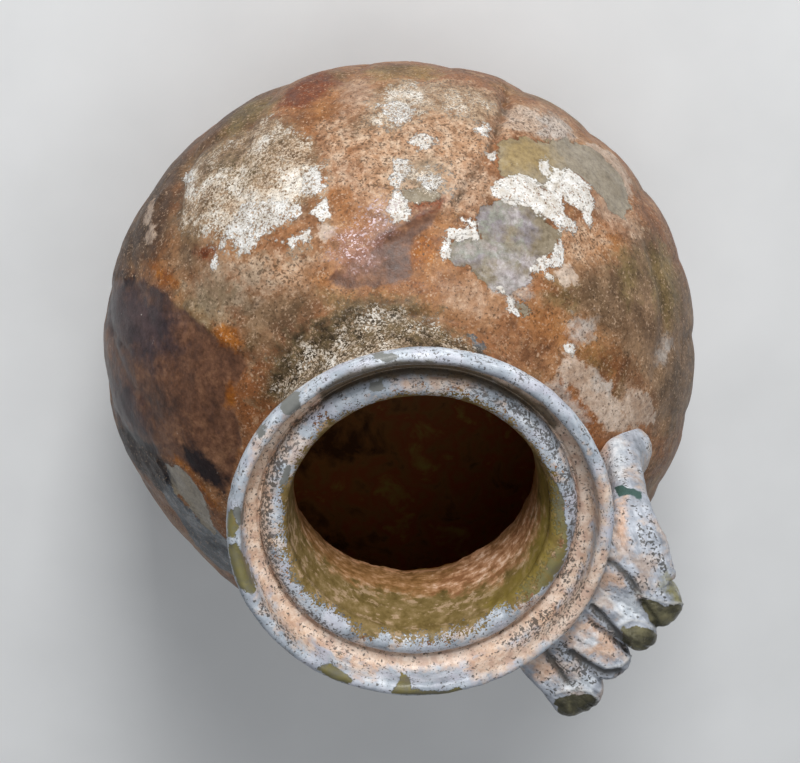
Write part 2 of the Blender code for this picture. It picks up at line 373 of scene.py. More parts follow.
def spreadFlat(directions, middle):
    # directions laid flat round the middle one, in mm along the globe
    side = np.cross(middle, (0.0, 0.0, 1.0))
    side /= np.linalg.norm(side)
    up = np.cross(side, middle)
    turn = np.arccos(np.clip(directions @ middle, -1, 1))
    flat = np.stack([directions @ side, directions @ up], -1)
    size = np.maximum(np.linalg.norm(flat, axis=-1, keepdims=True), 1e-9)
    return flat / size * turn[..., None] * vessel["bodyRadius"] * 1000


def insideDistance(points, outline, closed=True):
    # distance to an outline, above zero inside it; an open line gives it with a sign for the line's side
    best = np.full(len(points), 1e9)
    sign = np.full(len(points), -1.0)
    ends = np.roll(outline, -1, 0) if closed else outline[1:]
    for (ax, ay), (bx, by) in zip(outline, ends):
        ex, ey = bx - ax, by - ay
        px, py = points[:, 0] - ax, points[:, 1] - ay
        t = np.clip((px * ex + py * ey) / (ex * ex + ey * ey), 0, 1)
        away = (px - t * ex) ** 2 + (py - t * ey) ** 2
        if closed:
            crosses = (ay > points[:, 1]) != (by > points[:, 1])
            rise = by - ay if by != ay else 1e-9
            sign = np.where(crosses & (px < ex * py / rise), -sign, sign)
        else:
            sign = np.where(away < best, np.sign(ex * py - ey * px), sign)
        best = np.minimum(best, away)
    return sign * np.sqrt(best)


def patchOnGlobe(directions, outlines, reach=8.0):
    # how far inside the nearest outline each place lies, in mm
    field = np.full(len(directions), -reach)
    for outline in outlines:
        places = np.array([onGlobe(pixel) for pixel in outline])
        middle = places.mean(0)
        middle /= np.linalg.norm(middle)
        near = directions @ middle > 0.2
        flat = insideDistance(spreadFlat(directions[near], middle), spreadFlat(places, middle))
        field[near] = np.maximum(field[near], np.clip(flat, -reach, reach))
    return field


def lineOnGlobe(directions, line):
    # distance to a line drawn on the globe, with its side, in mm
    places = np.array([onGlobe(pixel) for pixel in line])
    middle = places.mean(0)
    middle /= np.linalg.norm(middle)
    away = np.full(len(directions), 99.0)
    near = directions @ middle > 0.2
    away[near] = insideDistance(spreadFlat(directions[near], middle), spreadFlat(places, middle), False)
    return away


# Patches of the crust, outlined in the photograph's pixels

crust = {
    "pepper": [         # white enamel-like skin, pitted through to the dark glass
        [(262, 116), (281, 117), (297, 130), (313, 140), (322, 158), (331, 170), (322, 180), (319, 195),
         (304, 205), (299, 216), (281, 223), (262, 237), (249, 253), (237, 250), (224, 240), (200, 239),
         (181, 239), (176, 224), (177, 205), (181, 190), (183, 174), (190, 160), (205, 148), (224, 141),
         (240, 130)],
        [(349, 119), (368, 108), (377, 85), (400, 75), (430, 77), (470, 84), (499, 95), (502, 108),
         (488, 124), (462, 118), (436, 112), (416, 120), (390, 126), (368, 124), (352, 134)],
        [(258, 384), (276, 354), (296, 332), (330, 319), (345, 302), (367, 297), (402, 300), (432, 316),
         (458, 334), (480, 354), (440, 366), (380, 370), (330, 384), (290, 414)],
        [(285, 244), (309, 250), (305, 265), (290, 262)],
        [(395, 158), (440, 165), (446, 188), (420, 190), (400, 180)],
    ],
    "white": [          # thick chalky white flakes
        [(231, 222), (245, 208), (262, 204), (285, 201), (300, 206), (298, 216), (280, 222), (265, 234),
         (256, 250), (247, 256), (239, 248), (228, 238)],
        [(302, 166), (318, 165), (324, 178), (315, 192), (301, 192)],
        [(313, 210), (322, 202), (328, 206), (330, 218), (320, 225), (314, 218)],
        [(274, 241), (298, 236), (311, 228), (314, 238), (300, 243), (285, 247)],
        [(182, 168), (190, 168), (192, 182), (184, 184)],
        [(380, 100), (396, 96), (412, 104), (414, 117), (396, 118), (382, 110)],
        [(409, 139), (420, 131), (430, 134), (442, 139), (430, 145), (412, 147)],
        [(393, 158), (405, 156), (411, 168), (400, 178), (399, 190), (405, 198), (413, 206), (411, 216),
         (398, 220), (387, 217), (386, 208), (394, 196), (391, 178)],
        [(418, 176), (430, 172), (441, 174), (444, 184), (430, 187)],
        [(475, 128), (485, 117), (492, 126), (483, 134)],
        [(488, 148), (495, 148), (497, 158), (490, 157)],
        [(492, 188), (498, 179), (512, 176), (523, 172), (535, 178), (548, 189), (560, 196), (566, 210),
         (576, 222), (577, 233), (565, 227), (551, 223), (540, 211), (528, 202), (514, 203), (500, 197)],
        [(560, 170), (569, 167), (581, 174), (590, 185), (595, 197), (592, 223), (585, 217), (577, 206),
         (567, 200), (561, 190)],
        [(543, 158), (549, 156), (551, 166), (546, 171)],
        [(545, 184), (560, 168), (566, 190), (562, 202)],
        [(449, 229), (461, 226), (476, 231), (480, 237), (462, 236), (452, 240), (449, 252), (443, 258),
         (442, 250), (447, 240)],
        [(455, 212), (468, 216), (477, 223), (469, 227), (459, 220)],
        [(560, 238), (556, 251), (546, 259), (533, 268), (545, 270), (553, 281), (548, 268), (562, 264),
         (564, 250)],
        [(500, 290), (506, 300), (514, 312), (519, 316), (511, 299)],
        [(563, 345), (571, 344), (573, 351), (566, 353)],
        [(216, 256), (222, 242), (226, 236), (228, 243), (220, 256), (216, 268), (213, 266)],
    ],
    "bare": [           # glass with the crust gone: olive, grey where it is dulled
        [(498, 139), (520, 135), (546, 139), (576, 137), (598, 150), (616, 168), (629, 189), (633, 208),
         (625, 219), (611, 206), (600, 190), (586, 178), (570, 168), (562, 178), (556, 192), (540, 185),
         (521, 173), (498, 176), (499, 158)],
        [(478, 218), (484, 203), (500, 198), (520, 200), (540, 211), (553, 224), (562, 234), (557, 248),
         (545, 258), (532, 266), (528, 282), (518, 292), (507, 296), (492, 286), (479, 280), (471, 265),
         (459, 265), (449, 256), (450, 240), (463, 235), (480, 235)],
        [(402, 182), (425, 183), (441, 191), (436, 199), (415, 201), (404, 196)],
        [(515, 300), (525, 302), (533, 310), (525, 316), (516, 310)],
        [(160, 465), (180, 469), (196, 485), (206, 505), (211, 536), (200, 530), (185, 506), (170, 495)],
    ],
    "violet": [         # thin weathered film that shows violet and green
        [(476, 216), (484, 203), (500, 198), (514, 204), (510, 222), (498, 240), (480, 236)],
        [(452, 242), (480, 236), (505, 240), (525, 255), (530, 268), (505, 262), (470, 262), (456, 258)],
        [(512, 206), (528, 210), (536, 228), (530, 250), (516, 240)],
        [(492, 276), (510, 271), (526, 280), (534, 296), (525, 303), (511, 299), (499, 290)],
    ],
    "film": [           # whitish film left on the bare glass
        [(488, 268), (506, 262), (522, 268), (532, 284), (534, 298), (520, 306), (508, 300), (497, 288)],
        [(500, 246), (524, 252), (542, 258), (538, 266), (516, 262), (500, 254)],
        [(508, 208), (518, 206), (522, 216), (512, 220)],
    ],
    "plum": [           # purple-brown panels where the film is whole
        [(113, 284), (135, 279), (160, 290), (185, 311), (210, 331), (240, 351), (246, 366), (238, 386),
         (232, 400), (236, 420), (240, 441), (233, 470), (226, 496), (205, 481), (185, 465), (160, 456),
         (140, 450), (124, 436), (109, 410), (102, 380), (100, 350), (107, 320)],
        [(326, 280), (340, 266), (360, 250), (374, 234), (392, 224), (410, 216), (428, 207), (446, 200),
         (440, 213), (426, 228), (413, 242), (410, 262), (409, 278), (396, 284), (370, 287), (345, 290)],
    ],
    "plumCool": [       # its violet-grey stretches
        [(112, 288), (134, 282), (158, 292), (176, 318), (172, 350), (150, 366), (124, 352), (106, 322)],
        [(104, 380), (124, 372), (138, 400), (146, 436), (126, 436), (110, 410)],
    ],
    "honey": [          # yellower bare glass
        [(498, 139), (520, 134), (550, 140), (562, 154), (546, 166), (521, 173), (499, 174)],
    ],
    "paintedGlints": [        # painted highlights: bright glints drawn on the flaking film
        [(336, 232), (352, 230), (372, 240), (370, 258), (350, 264), (338, 252)],
        [(376, 196), (392, 204), (384, 226), (368, 236), (358, 222)],
    ],
    "mauve": [          # rosy film round the glints
        [(334, 234), (352, 228), (372, 232), (382, 246), (374, 264), (350, 272), (334, 266)],
        [(372, 206), (392, 204), (388, 226), (370, 236), (362, 222)],
    ],
    "soot": [           # dark earth between the grains, above the rim
        [(256, 400), (268, 368), (288, 340), (320, 322), (338, 306), (367, 302), (402, 306), (434, 320),
         (462, 336), (482, 354), (440, 362), (380, 364), (330, 378), (288, 410)],
    ],
    "ink": [            # almost black stains
        [(108, 424), (124, 430), (142, 440), (160, 458), (168, 482), (158, 498), (140, 480), (120, 458),
         (104, 438)],
        [(181, 442), (205, 455), (226, 480), (226, 497), (206, 484), (186, 466)],
        [(128, 274), (136, 278), (129, 281)],
    ],
    "amber": [          # clear orange stain
        [(211, 331), (224, 325), (238, 330), (244, 345), (236, 352), (221, 345)],
        [(226, 386), (238, 384), (236, 402), (228, 406)],
        [(168, 458), (186, 463), (206, 486), (221, 506), (214, 513), (200, 496), (185, 476)],
        [(414, 240), (430, 232), (438, 246), (432, 262), (420, 266), (412, 256)],
        [(150, 262), (172, 270), (178, 286), (160, 284)],
    ],
    "thin": [           # where the pitted skin is sparse
        [(256, 400), (268, 364), (292, 334), (328, 318), (345, 302), (402, 300), (434, 318), (462, 336),
         (440, 350), (400, 346), (350, 352), (310, 372), (284, 400)],
        [(198, 142), (236, 124), (248, 140), (238, 160), (214, 172), (190, 196), (180, 200)],
    ],
    "olive": [          # dull olive smears
        [(243, 104), (280, 97), (266, 114), (240, 130), (222, 138), (230, 118)],
        [(645, 255), (660, 240), (672, 262), (678, 300), (668, 330), (655, 300)],
        [(620, 250), (634, 256), (640, 290), (628, 300), (618, 275)],
        [(205, 172), (240, 160), (262, 168), (250, 190), (222, 190)],
        [(330, 300), (352, 296), (400, 300), (430, 312), (380, 316), (340, 318)],
        [(555, 286), (574, 286), (572, 302), (556, 303)],
        [(580, 352), (600, 356), (608, 372), (590, 368)],
        [(180, 292), (226, 290), (232, 318), (212, 326), (190, 312)],
        [(360, 66), (440, 64), (440, 74), (380, 76)],
    ],
    "dim": [            # painted shade: the globe's left edge darkened where it turns from the light, over dark brown crust
        [(104, 300), (108, 262), (122, 226), (144, 190), (164, 152), (194, 130), (190, 156), (184, 190),
         (178, 214), (172, 240), (156, 268), (130, 278)],
        [(192, 140), (216, 116), (244, 98), (280, 84), (284, 94), (262, 110), (238, 126), (218, 138),
         (200, 152)],
    ],
    "cream": [          # peach earth held in the crust
        [(594, 192), (616, 192), (634, 214), (638, 236), (612, 230), (600, 214)],
        [(440, 282), (470, 280), (500, 306), (480, 316), (450, 300)],
        [(340, 78), (368, 74), (376, 90), (366, 106), (348, 110)],
        [(330, 150), (346, 158), (350, 180), (338, 182)],
        [(232, 268), (262, 268), (270, 284), (250, 292), (236, 286)],
        [(440, 190), (470, 165), (486, 168), (484, 196), (466, 206), (448, 204)],
        [(600, 405), (625, 392), (640, 402), (630, 424), (606, 428)],
    ],
    "peach": [          # pale earth caked on the glass
        [(560, 348), (576, 357), (592, 370), (608, 384), (622, 402), (624, 426), (604, 432), (590, 412),
         (573, 390), (558, 371)],
        [(568, 175), (581, 179), (587, 192), (578, 203), (569, 194)],
        [(508, 104), (538, 108), (552, 124), (540, 134), (520, 132), (506, 122)],
        [(626, 392), (650, 396), (654, 420), (630, 426), (618, 410)],
        [(556, 270), (572, 262), (580, 280), (566, 290)],
        [(310, 232), (326, 220), (336, 230), (322, 246)],
        [(584, 138), (602, 146), (618, 159), (628, 176), (634, 196), (626, 190), (612, 166), (596, 150)],
        [(152, 204), (158, 204), (155, 222), (158, 240), (151, 240), (149, 220)],
        [(500, 150), (512, 148), (522, 166), (516, 176), (499, 176)],
    ],
    "tan": [            # light tan crust with fine dark dots
        [(350, 116), (380, 96), (400, 76), (440, 76), (480, 86), (502, 98), (492, 126), (488, 150),
         (468, 178), (444, 204), (410, 216), (392, 226), (374, 234), (360, 200), (352, 150)],
        [(500, 112), (530, 104), (560, 112), (584, 138), (560, 140), (520, 132), (500, 136)],
        [(440, 196), (476, 160), (496, 170), (490, 200), (470, 208), (446, 216)],
        [(316, 120), (350, 116), (352, 160), (336, 180), (322, 150)],
        [(560, 226), (592, 224), (612, 240), (590, 260), (566, 256)],
        [(250, 262), (300, 252), (318, 262), (300, 284), (262, 290)],
    ],
    "frost": [          # soft greyish white
        [(540, 116), (556, 112), (568, 121), (577, 136), (560, 139), (544, 134)],
        [(572, 323), (590, 319), (596, 328), (587, 339), (575, 344), (568, 333)],
        [(656, 350), (668, 336), (673, 342), (664, 362), (656, 366)],
        [(546, 392), (560, 384), (572, 400), (590, 420), (580, 424), (560, 404)],
        [(596, 372), (606, 384), (616, 398), (610, 402), (598, 388)],
        [(494, 284), (506, 276), (520, 280), (528, 292), (514, 300), (502, 296)],
    ],
    "ember": [          # dark red-brown streaks
        [(276, 106), (290, 86), (320, 70), (336, 76), (320, 94), (302, 106)],
        [(392, 210), (420, 196), (446, 196), (440, 206), (410, 214)],
        [(196, 248), (222, 250), (216, 262), (196, 262)],
    ],
    "chalk": [          # grey-white coat, darkened to blue-grey as painted shade on the strip at the lower left
        [(466, 338), (475, 334), (483, 344), (482, 356), (470, 352)],
        [(150, 482), (165, 478), (176, 500), (196, 521), (216, 532), (229, 546), (236, 582), (214, 571),
         (190, 549), (165, 516)],
    ],
}

# Patches on the coat of the mouth
lipPatches = {
    "lipBare": [        # olive glass where the coat has chipped off, and inside the neck at the right
        [(223, 514), (231, 510), (238, 518), (240, 530), (234, 537), (226, 536)],
        [(228, 546), (236, 543), (243, 552), (252, 568), (256, 584), (250, 594), (240, 590), (232, 570)],
        [(318, 668), (330, 664), (344, 670), (352, 682), (342, 686), (324, 678)],
        [(534, 451), (546, 470), (557, 489), (563, 500), (566, 518), (567, 544), (561, 570), (546, 586),
         (530, 600), (520, 606), (518, 588), (532, 554), (537, 520), (537, 492), (530, 466), (524, 450)],
        [(392, 694), (402, 672), (408, 676), (412, 688), (436, 692), (458, 688), (470, 694), (440, 704),
         (400, 703)],
    ],
    "lipGrey": [        # grey film where the coat is thin
        [(281, 398), (292, 392), (303, 396), (300, 408), (288, 415), (280, 408)],
        [(234, 507), (241, 505), (243, 514), (242, 526), (238, 526), (232, 516)],
        [(283, 468), (289, 466), (291, 482), (286, 500), (280, 494)],
        [(370, 382), (381, 379), (384, 388), (374, 393), (368, 389)],
        [(288, 566), (300, 562), (308, 576), (302, 588), (290, 580)],
        [(374, 354), (392, 352), (398, 357), (384, 362), (374, 360)],
        [(256, 428), (264, 424), (266, 434), (258, 438)],
    ],
    "channelShade": [   # painted shade in the groove at the top, under the lip
        [(318, 392), (340, 376), (366, 366), (415, 359), (467, 366), (492, 377), (520, 390), (545, 406),
         (560, 426), (554, 430), (538, 414), (514, 400), (488, 389), (464, 380), (415, 375), (368, 381),
         (342, 392), (324, 404)],
    ],
    "beadPepper": [     # the film on the bead has split into fine grains
        [(330, 392), (318, 412), (290, 436), (278, 458), (272, 486), (270, 520), (276, 552), (288, 584),
         (308, 616), (296, 624), (272, 596), (260, 560), (255, 520), (256, 484), (264, 452), (280, 426),
         (304, 402)],
        [(310, 606), (330, 624), (356, 640), (348, 650), (322, 640), (302, 620)],
        [(262, 452), (276, 440), (292, 462), (284, 520), (290, 556), (276, 560), (262, 520)],
        [(452, 400), (484, 392), (520, 404), (548, 430), (566, 462), (552, 466), (536, 440), (506, 418),
         (478, 410)],
    ],
    "rimPepper": [      # and on the lip's inner side
        [(560, 600), (572, 586), (580, 560), (588, 562), (582, 596), (560, 622), (524, 644), (504, 648),
         (508, 634)],
        [(556, 462), (572, 470), (580, 520), (576, 560), (564, 586), (558, 580), (567, 548), (568, 515)],
        [(262, 600), (284, 622), (300, 640), (292, 644), (270, 622), (256, 604)],
    ],
    "lipPeach": [       # peach earth
        [(262, 596), (278, 602), (302, 624), (318, 644), (310, 652), (288, 634), (268, 614)],
        [(560, 600), (590, 560), (604, 540), (612, 560), (592, 610), (560, 640), (540, 640)],
        [(470, 660), (520, 640), (540, 650), (500, 676), (474, 682)],
        [(596, 470), (606, 474), (608, 524), (600, 530), (594, 500)],
        [(336, 652), (366, 660), (376, 676), (350, 672)],
        [(585, 470), (600, 480), (606, 520), (596, 540), (590, 500)],
        [(254, 440), (262, 446), (256, 500), (262, 560), (278, 600), (268, 604), (250, 560), (246, 500)],
        [(540, 622), (566, 596), (586, 560), (598, 566), (584, 606), (552, 640), (520, 660), (512, 650)],
        [(395, 382), (440, 374), (470, 380), (468, 386), (430, 384), (398, 390)],
        [(318, 404), (300, 424), (284, 446), (274, 480), (270, 520), (274, 556), (286, 590), (300, 612),
         (292, 616), (274, 590), (262, 556), (256, 520), (258, 484), (266, 452), (282, 426), (306, 402)],
    ],
}

# Stretches of the neck's inner wall
neckPatches = {
    "neckOlive": [      # clear olive glass, free of dust
        [(538, 466), (556, 478), (560, 510), (556, 542), (544, 568), (526, 590), (506, 606), (488, 612),
         (482, 602), (502, 586), (520, 566), (531, 544), (537, 515), (538, 490)],
    ],
    "neckRustAndHighlight": [       # torn orange crust, with a painted highlight on its lit edge
        [(430, 580), (452, 568), (476, 552), (500, 540), (520, 524), (536, 500), (540, 512), (534, 536),
         (520, 560), (500, 578), (470, 590), (444, 592)],
    ],
}

# Warm and dull stretches of the brown crust, soft at their edges; the dull ones along the globe's edges also
# carry painted shade
tones = {
    "ash": [
        [(184, 288), (206, 272), (224, 262), (234, 276), (246, 300), (232, 320), (206, 320), (190, 306)],
        [(236, 262), (262, 262), (272, 284), (250, 296), (236, 286)],
        [(408, 150), (440, 160), (446, 190), (424, 204), (404, 190)],
    ],
    "warm": [
        [(280, 100), (345, 84), (352, 118), (346, 150), (322, 140), (296, 122)],
        [(330, 190), (392, 205), (446, 220), (452, 262), (470, 280), (460, 305), (380, 296), (320, 300),
         (300, 280), (326, 262), (340, 230)],
        [(480, 300), (560, 300), (640, 330), (650, 372), (600, 366), (540, 340)],
        [(130, 230), (176, 240), (182, 290), (140, 284)],
        [(575, 226), (620, 222), (640, 262), (600, 272), (572, 250)],
    ],
    "dull": [
        [(636, 288), (660, 280), (670, 325), (658, 352), (638, 328)],
        [(660, 300), (682, 270), (692, 330), (684, 410), (668, 440), (660, 380)],
        [(560, 262), (600, 262), (640, 230), (672, 250), (690, 320), (684, 420), (652, 430), (640, 380),
         (590, 330), (548, 300)],
        [(180, 240), (218, 244), (214, 268), (186, 284), (168, 268)],
        [(236, 292), (300, 286), (330, 300), (300, 326), (262, 350), (246, 330)],
        [(120, 232), (146, 190), (180, 150), (172, 190), (150, 260), (126, 270)],
    ],
}

# Creases, ridges and cracks: line in pixels, half width and depth in mm, and the lift of one side
creases = [
    ([(508, 88), (506, 104), (500, 122), (491, 148), (474, 174), (456, 200), (444, 212)], 1.5, 1.15, 0.60),
    ([(352, 88), (354, 130), (357, 165), (361, 192), (356, 226)], 0.8, 0.35, 0.15),
    ([(506, 82), (508, 92), (506, 104), (500, 120), (492, 146)], 0.6, 0.60, 0.0),
    ([(128, 280), (158, 289), (185, 311), (212, 333), (242, 352)], 1.4, -0.55, -0.25),
    ([(244, 356), (236, 384), (234, 408), (238, 436)], 1.6, 0.40, 0.0),
    ([(106, 320), (117, 337), (131, 358)], 0.6, 0.40, 0.20),
    ([(154, 462), (163, 484), (172, 499)], 0.6, -0.50, 0.20),
    ([(172, 496), (190, 520), (212, 538)], 0.9, -0.40, 0.0),
    ([(330, 276), (352, 254), (384, 236), (412, 219), (446, 203)], 0.8, 0.40, 0.45),
    ([(163, 197), (157, 212), (156, 236)], 1.2, -0.55, 0.0),
    ([(224, 135), (196, 152), (182, 180), (176, 214)], 2.2, 0.80, 0.0),
    ([(183, 282), (204, 270), (218, 254), (226, 240)], 0.6, 0.30, 0.20),
    ([(480, 318), (500, 322), (514, 328)], 0.5, 0.40, 0.0),
    ([(232, 326), (241, 334), (243, 350)], 0.5, -0.35, 0.0),
    ([(650, 250), (661, 285), (664, 330), (655, 372)], 2.4, 0.90, 0.0),
    ([(400, 316), (440, 318), (480, 332), (516, 356)], 0.8, 0.35, 0.0),
    ([(270, 350), (262, 380), (252, 412)], 1.0, 0.40, 0.2),
    ([(600, 380), (612, 392), (622, 410)], 0.6, 0.40, 0.25),
    ([(556, 214), (566, 226), (577, 236)], 0.5, 0.35, 0.0),
    ([(545, 266), (590, 250), (640, 222)], 2.6, 0.35, 0.0),
]

relief = {                        # mm
    "lumpSize": 13.0, "lumpDepth": 0.30,
    "grainSize": 4.5, "grainDepth": 0.13,
    # white flakes stand proud of the brown crust, and bare glass and whole film lie under it
    "lifts": [("white", 0.28), ("bare", -0.30), ("plum", -0.22), ("lipBare", -0.18)],
    "edge": 0.9,                  # a patch's edge rises over this width
    "raggedSize": 5.0, "raggedReach": 1.6,        # its edge wanders this far
    "rimFade": (-24, -15),        # the rim's relief ends 24 mm from its middle, and is whole within 15 mm
    "rimLumpSize": 9.0, "rimLumps": 0.16,
    "rimGrainSize": 2.4, "rimGrain": 0.07,
    "throatLumpSize": 6.0, "throatLumps": 0.60,   # crust at the foot of the neck's inside
    "throatWidth": 7.0,
    "creaseWander": 0.25,         # share of a patch's ragged edge that a crease takes
    "creaseFall": 7.0,            # a lifted side falls away over this length
    "creaseReach": 30.0,          # and ends here
    "seamDepth": 0.42,            # creases deeper than this are darkened: painted shade in the crease, with dark earth in its crack
    "broadCrease": 1.5, "broadSeam": 0.45,        # less of it where the half width is over this
    "plainFoot": 1.2,             # the standing face stays flat up to this height
    "ringSize": 10.0,             # patterns that follow the rim are drawn on a ring this wide
}

# Bands of the mouth, in mm along the profile from the crest of the lip
bands = {
    "coatOuter": 8.0,
    "lipUnder": 6.5,              # the pale coat ends here, under the lip
    "lipOuterEdge": 2.4,
    "rimMiddle": -7.0,
    "lipFoot": -7.4,
    "creviceLine": -12.2,
    "beadCrest": -17.5,
    "neckStart": -19.0,
    "coatInner": -24.0,
    "throatStart": -36.0,
    "throatEdge": -49.5,          # the neck's inside turns out into the globe here
    "insideStart": -52.0,
    "crustStart": 2.0,            # below the neck's foot: the crust's relief begins here
    "crustWhole": 16.0,           # and is whole here
}


def mouthFields(run, wander):
    # how far inside each band a place lies, in mm
    b = bands
    return {
        "mouth": np.minimum(run - b["neckStart"] + 1.8 * wander, b["lipUnder"] - run),
        "channel": np.minimum(b["lipFoot"] + 0.5 - run, run - b["creviceLine"] + 0.4),
        "beadSide": np.minimum(b["creviceLine"] + 0.3 - run, run - b["beadCrest"] - 0.6),
        "lipLine": 1.1 - np.abs(run - b["lipFoot"]),
        "lipEdge": 1.3 - np.abs(run - b["lipOuterEdge"]),
        "neck": b["neckStart"] + 1.5 - run,
        "throat": b["throatStart"] - run + 1.2 * wander,
        "throatEdge": 1.0 - np.abs(run - b["throatEdge"]),
        "inside": b["insideStart"] - run,
    }


def writeRing(mesh, points, run):
    # a place by its way round the axis and its run, for patterns that are drawn out round the rim
    turn = np.arctan2(points[:, 1], points[:, 0])
    ring = 0.001 * np.stack([relief["ringSize"] * np.cos(turn), relief["ringSize"] * np.sin(turn), run], -1)
    layer = mesh.attributes.new("ring", "FLOAT_VECTOR", "POINT")
    layer.data.foreach_set("vector", ring.astype(np.float32).ravel())


def cameraFacing(points, normals):
    towards = cameraPlace - points
    towards /= np.linalg.norm(towards, axis=1)[:, None]
    return np.sum(normals * towards, axis=1)


def patchInPhoto(points, wanted, outlines, reach=6.0):
    # how far inside the nearest outline each wanted place shows in the photograph, in mm at the mouth
    field = np.full(len(points), -reach)
    places = inPhoto(points[wanted]) * pixelSize
    for outline in outlines:
        flat = insideDistance(places, np.array(outline, float) * pixelSize)
        field[wanted] = np.maximum(field[wanted], np.clip(flat, -reach, reach))
    return field


def writePatches(mesh, points, run, ragged):
    # each patch and band becomes a field on the mesh: how far inside it a place lies, in mm
    fields = {kind: np.clip(field, -12, 12) for kind, field in mouthFields(run, ragged).items()}
    outside = run > bands["lipUnder"]
    directions = globeDirection(points[outside])
    for kind, outlines in list(crust.items()) + list(tones.items()):
        fields[kind] = np.full(len(points), -8.0)
        fields[kind][outside] = patchOnGlobe(directions, outlines)
    facing = cameraFacing(points, readPoints(mesh, "normal"))
    coat = (run > bands["coatInner"]) & (run < bands["coatOuter"]) & (facing > 0)
    neckWall = (run > bands["insideStart"] - 1) & (run < bands["beadCrest"]) & (facing > 0)
    for wanted, patches in ((coat, lipPatches), (neckWall, neckPatches)):
        for kind, outlines in patches.items():
            fields[kind] = patchInPhoto(points, wanted, outlines)
    fields["hidden"] = np.where(run > 0, smoothStep(-facing, -0.16, 0.06), 0)
    for kind, field in fields.items():
        writeField(mesh, kind, field)
    return fields


def crustPush(points, fields, ragged):
    # lumps and grain all over, raised flakes and sunken panels
    push = relief["lumpDepth"] * lumps(points, relief["lumpSize"], 2, 8.4)
    push += relief["grainDepth"] * lumps(points, relief["grainSize"], 3, 1.7)
    half = 0.5 * relief["edge"]
    for kind, lift in relief["lifts"]:
        push += lift * smoothStep(fields[kind] + ragged, -half, half)
    return push


def creasePush(directions, ragged):
    # how far the creases press in or lift, and how many half widths away the nearest deep one is
    push = np.zeros(len(directions))
    shadedSeam = np.full(len(directions), 9.0)
    for line, halfWidth, depth, lift in creases:
        away = lineOnGlobe(directions, line) + relief["creaseWander"] * ragged
        fall = np.where(away > 0, np.exp(-away / relief["creaseFall"]), 0)
        push += lift * fall * (np.abs(away) < relief["creaseReach"])
        push -= depth * np.exp(-(away / halfWidth) ** 2)
        if depth > relief["seamDepth"]:
            thinner = relief["broadSeam"] if halfWidth > relief["broadCrease"] else 0.0
            shadedSeam = np.minimum(shadedSeam, np.abs(away) / halfWidth + thinner)
    return push, shadedSeam


def mouthPush(points, run):
    # lumps and grain of the mouth's coat, and the torn edge at the foot of the neck's inside
    mouth = smoothStep(-np.abs(run - bands["rimMiddle"]), *relief["rimFade"])
    push = mouth * relief["rimLumps"] * lumps(points, relief["rimLumpSize"], 2, 5.2)
    push += mouth * relief["rimGrain"] * lumps(points, relief["rimGrainSize"], 3, 0.3)
    atEdge = np.exp(-((run - bands["throatEdge"]) / relief["throatWidth"]) ** 2)
    return push + atEdge * relief["throatLumps"] * lumps(points, relief["throatLumpSize"], 3, 2.2)


def makeVessel():
    piece = spinProfile("ewerVessel", vesselProfile(), vessel["turnSteps"], True)
    mesh = piece.data
    writePoints(mesh, shapeGlobe(readPoints(mesh)))
    points = readPoints(mesh)
    run = np.empty(len(points), np.float32)
    mesh.attributes["run"].data.foreach_get("value", run)
    writeRing(mesh, points, run)
    ragged = relief["raggedReach"] * lumps(points, relief["raggedSize"], 4, 3.1)
    fields = writePatches(mesh, points, run, ragged)
    creased, shadedSeam = creasePush(globeDirection(points), ragged)
    writeField(mesh, "shadedSeam", np.where(run > bands["lipUnder"], shadedSeam, 9.0))
    belowNeck = smoothStep(run - 1000 * vessel["neckDrop"], bands["crustStart"], bands["crustWhole"])
    body = np.maximum(belowNeck, fields["lipBare"] > -5)
    push = (crustPush(points, fields, ragged) + creased) * body + mouthPush(points, run)
    push[points[:, 2] < 0.001 * relief["plainFoot"]] = 0
    writePoints(mesh, points + readPoints(mesh, "normal") * (0.001 * push)[:, None])
    selectOnly(piece)
    bpy.ops.object.shade_smooth()
    print("vessel:", 2 * len(mesh.polygons), "triangles at most")
    return piece


ewerVessel = makeVessel()
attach(ewerVessel, "root")
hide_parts("vessel")


# Handle: a strap drawn up from the shoulder, folded to and fro against the rim

handle = {
    "stemGap": 0.0150,
    "stemWidth": 0.0125,
    "stemThickness": 0.0085,
    "padWidth": 0.0150,
    "padLength": 0.0185,
    "padSeat": 0.0020,
    "foldDrop": 0.0100,
    "foldHeight": 0.0115,
    "foldReach": 0.0238,
    "foldWidth": 0.0160,
    "corners": 28,                # round a section
    "grain": 0.00050,             # size of the welded skin's faces
    "melt": 2,                    # rounds of smoothing, as hot glass softens its own edges
    "sink": 0.0006,               # how far it is fused into the vessel
    "squareness": 0.60,           # a section between a circle (1) and a box (0)
    "padRows": 5,                 # the strap's first stations, which are the rounder pad
    "grooveWidth": 1.1, "grooveDepth": 1.0,     # mm, between the folds
    "ridgeWidth": 0.6, "ridgeHeight": 0.34,
    "foldsFrom": (0.147, 0.153),  # the folds begin between these heights
    "lowerTurn": 13, "lowerLean": 9,      # degrees past the first fold: at the rim, and more at the tip
    "streakDepth": 0.30, "lineDepth": 0.16, "stemDepth": 0.16,      # mm
    "lumpSize": 5.0, "lumpDepth": 0.12,
    "leastFacing": 0.05,          # patches and lines stay off the sides that turn from the camera
}
folds = [   # azimuth at the rim and at the tip, reach, width at the rim and near the tip, lift (shares)
    (-7.0, -18.4, 1.00, 1.00, 0.68, -0.09),
    (-18.6, -25.6, 0.92, 0.55, 0.49, 0.09),
    (-30.0, -35.0, 0.90, 0.61, 0.65, -0.05),
    (-43.0, -45.6, 1.00, 0.84, 0.86, -0.10),
]


def polar(radius, azimuth, z):
    angle = math.radians(azimuth)
    return Vector((radius * math.cos(angle), radius * math.sin(angle), z))


def squareOff(piece):
    # the round start section gets flatter sides
    for corner in piece.data.vertices:
        for i in range(3):
            corner.co[i] = math.copysign(abs(corner.co[i]) ** handle["squareness"], corner.co[i])


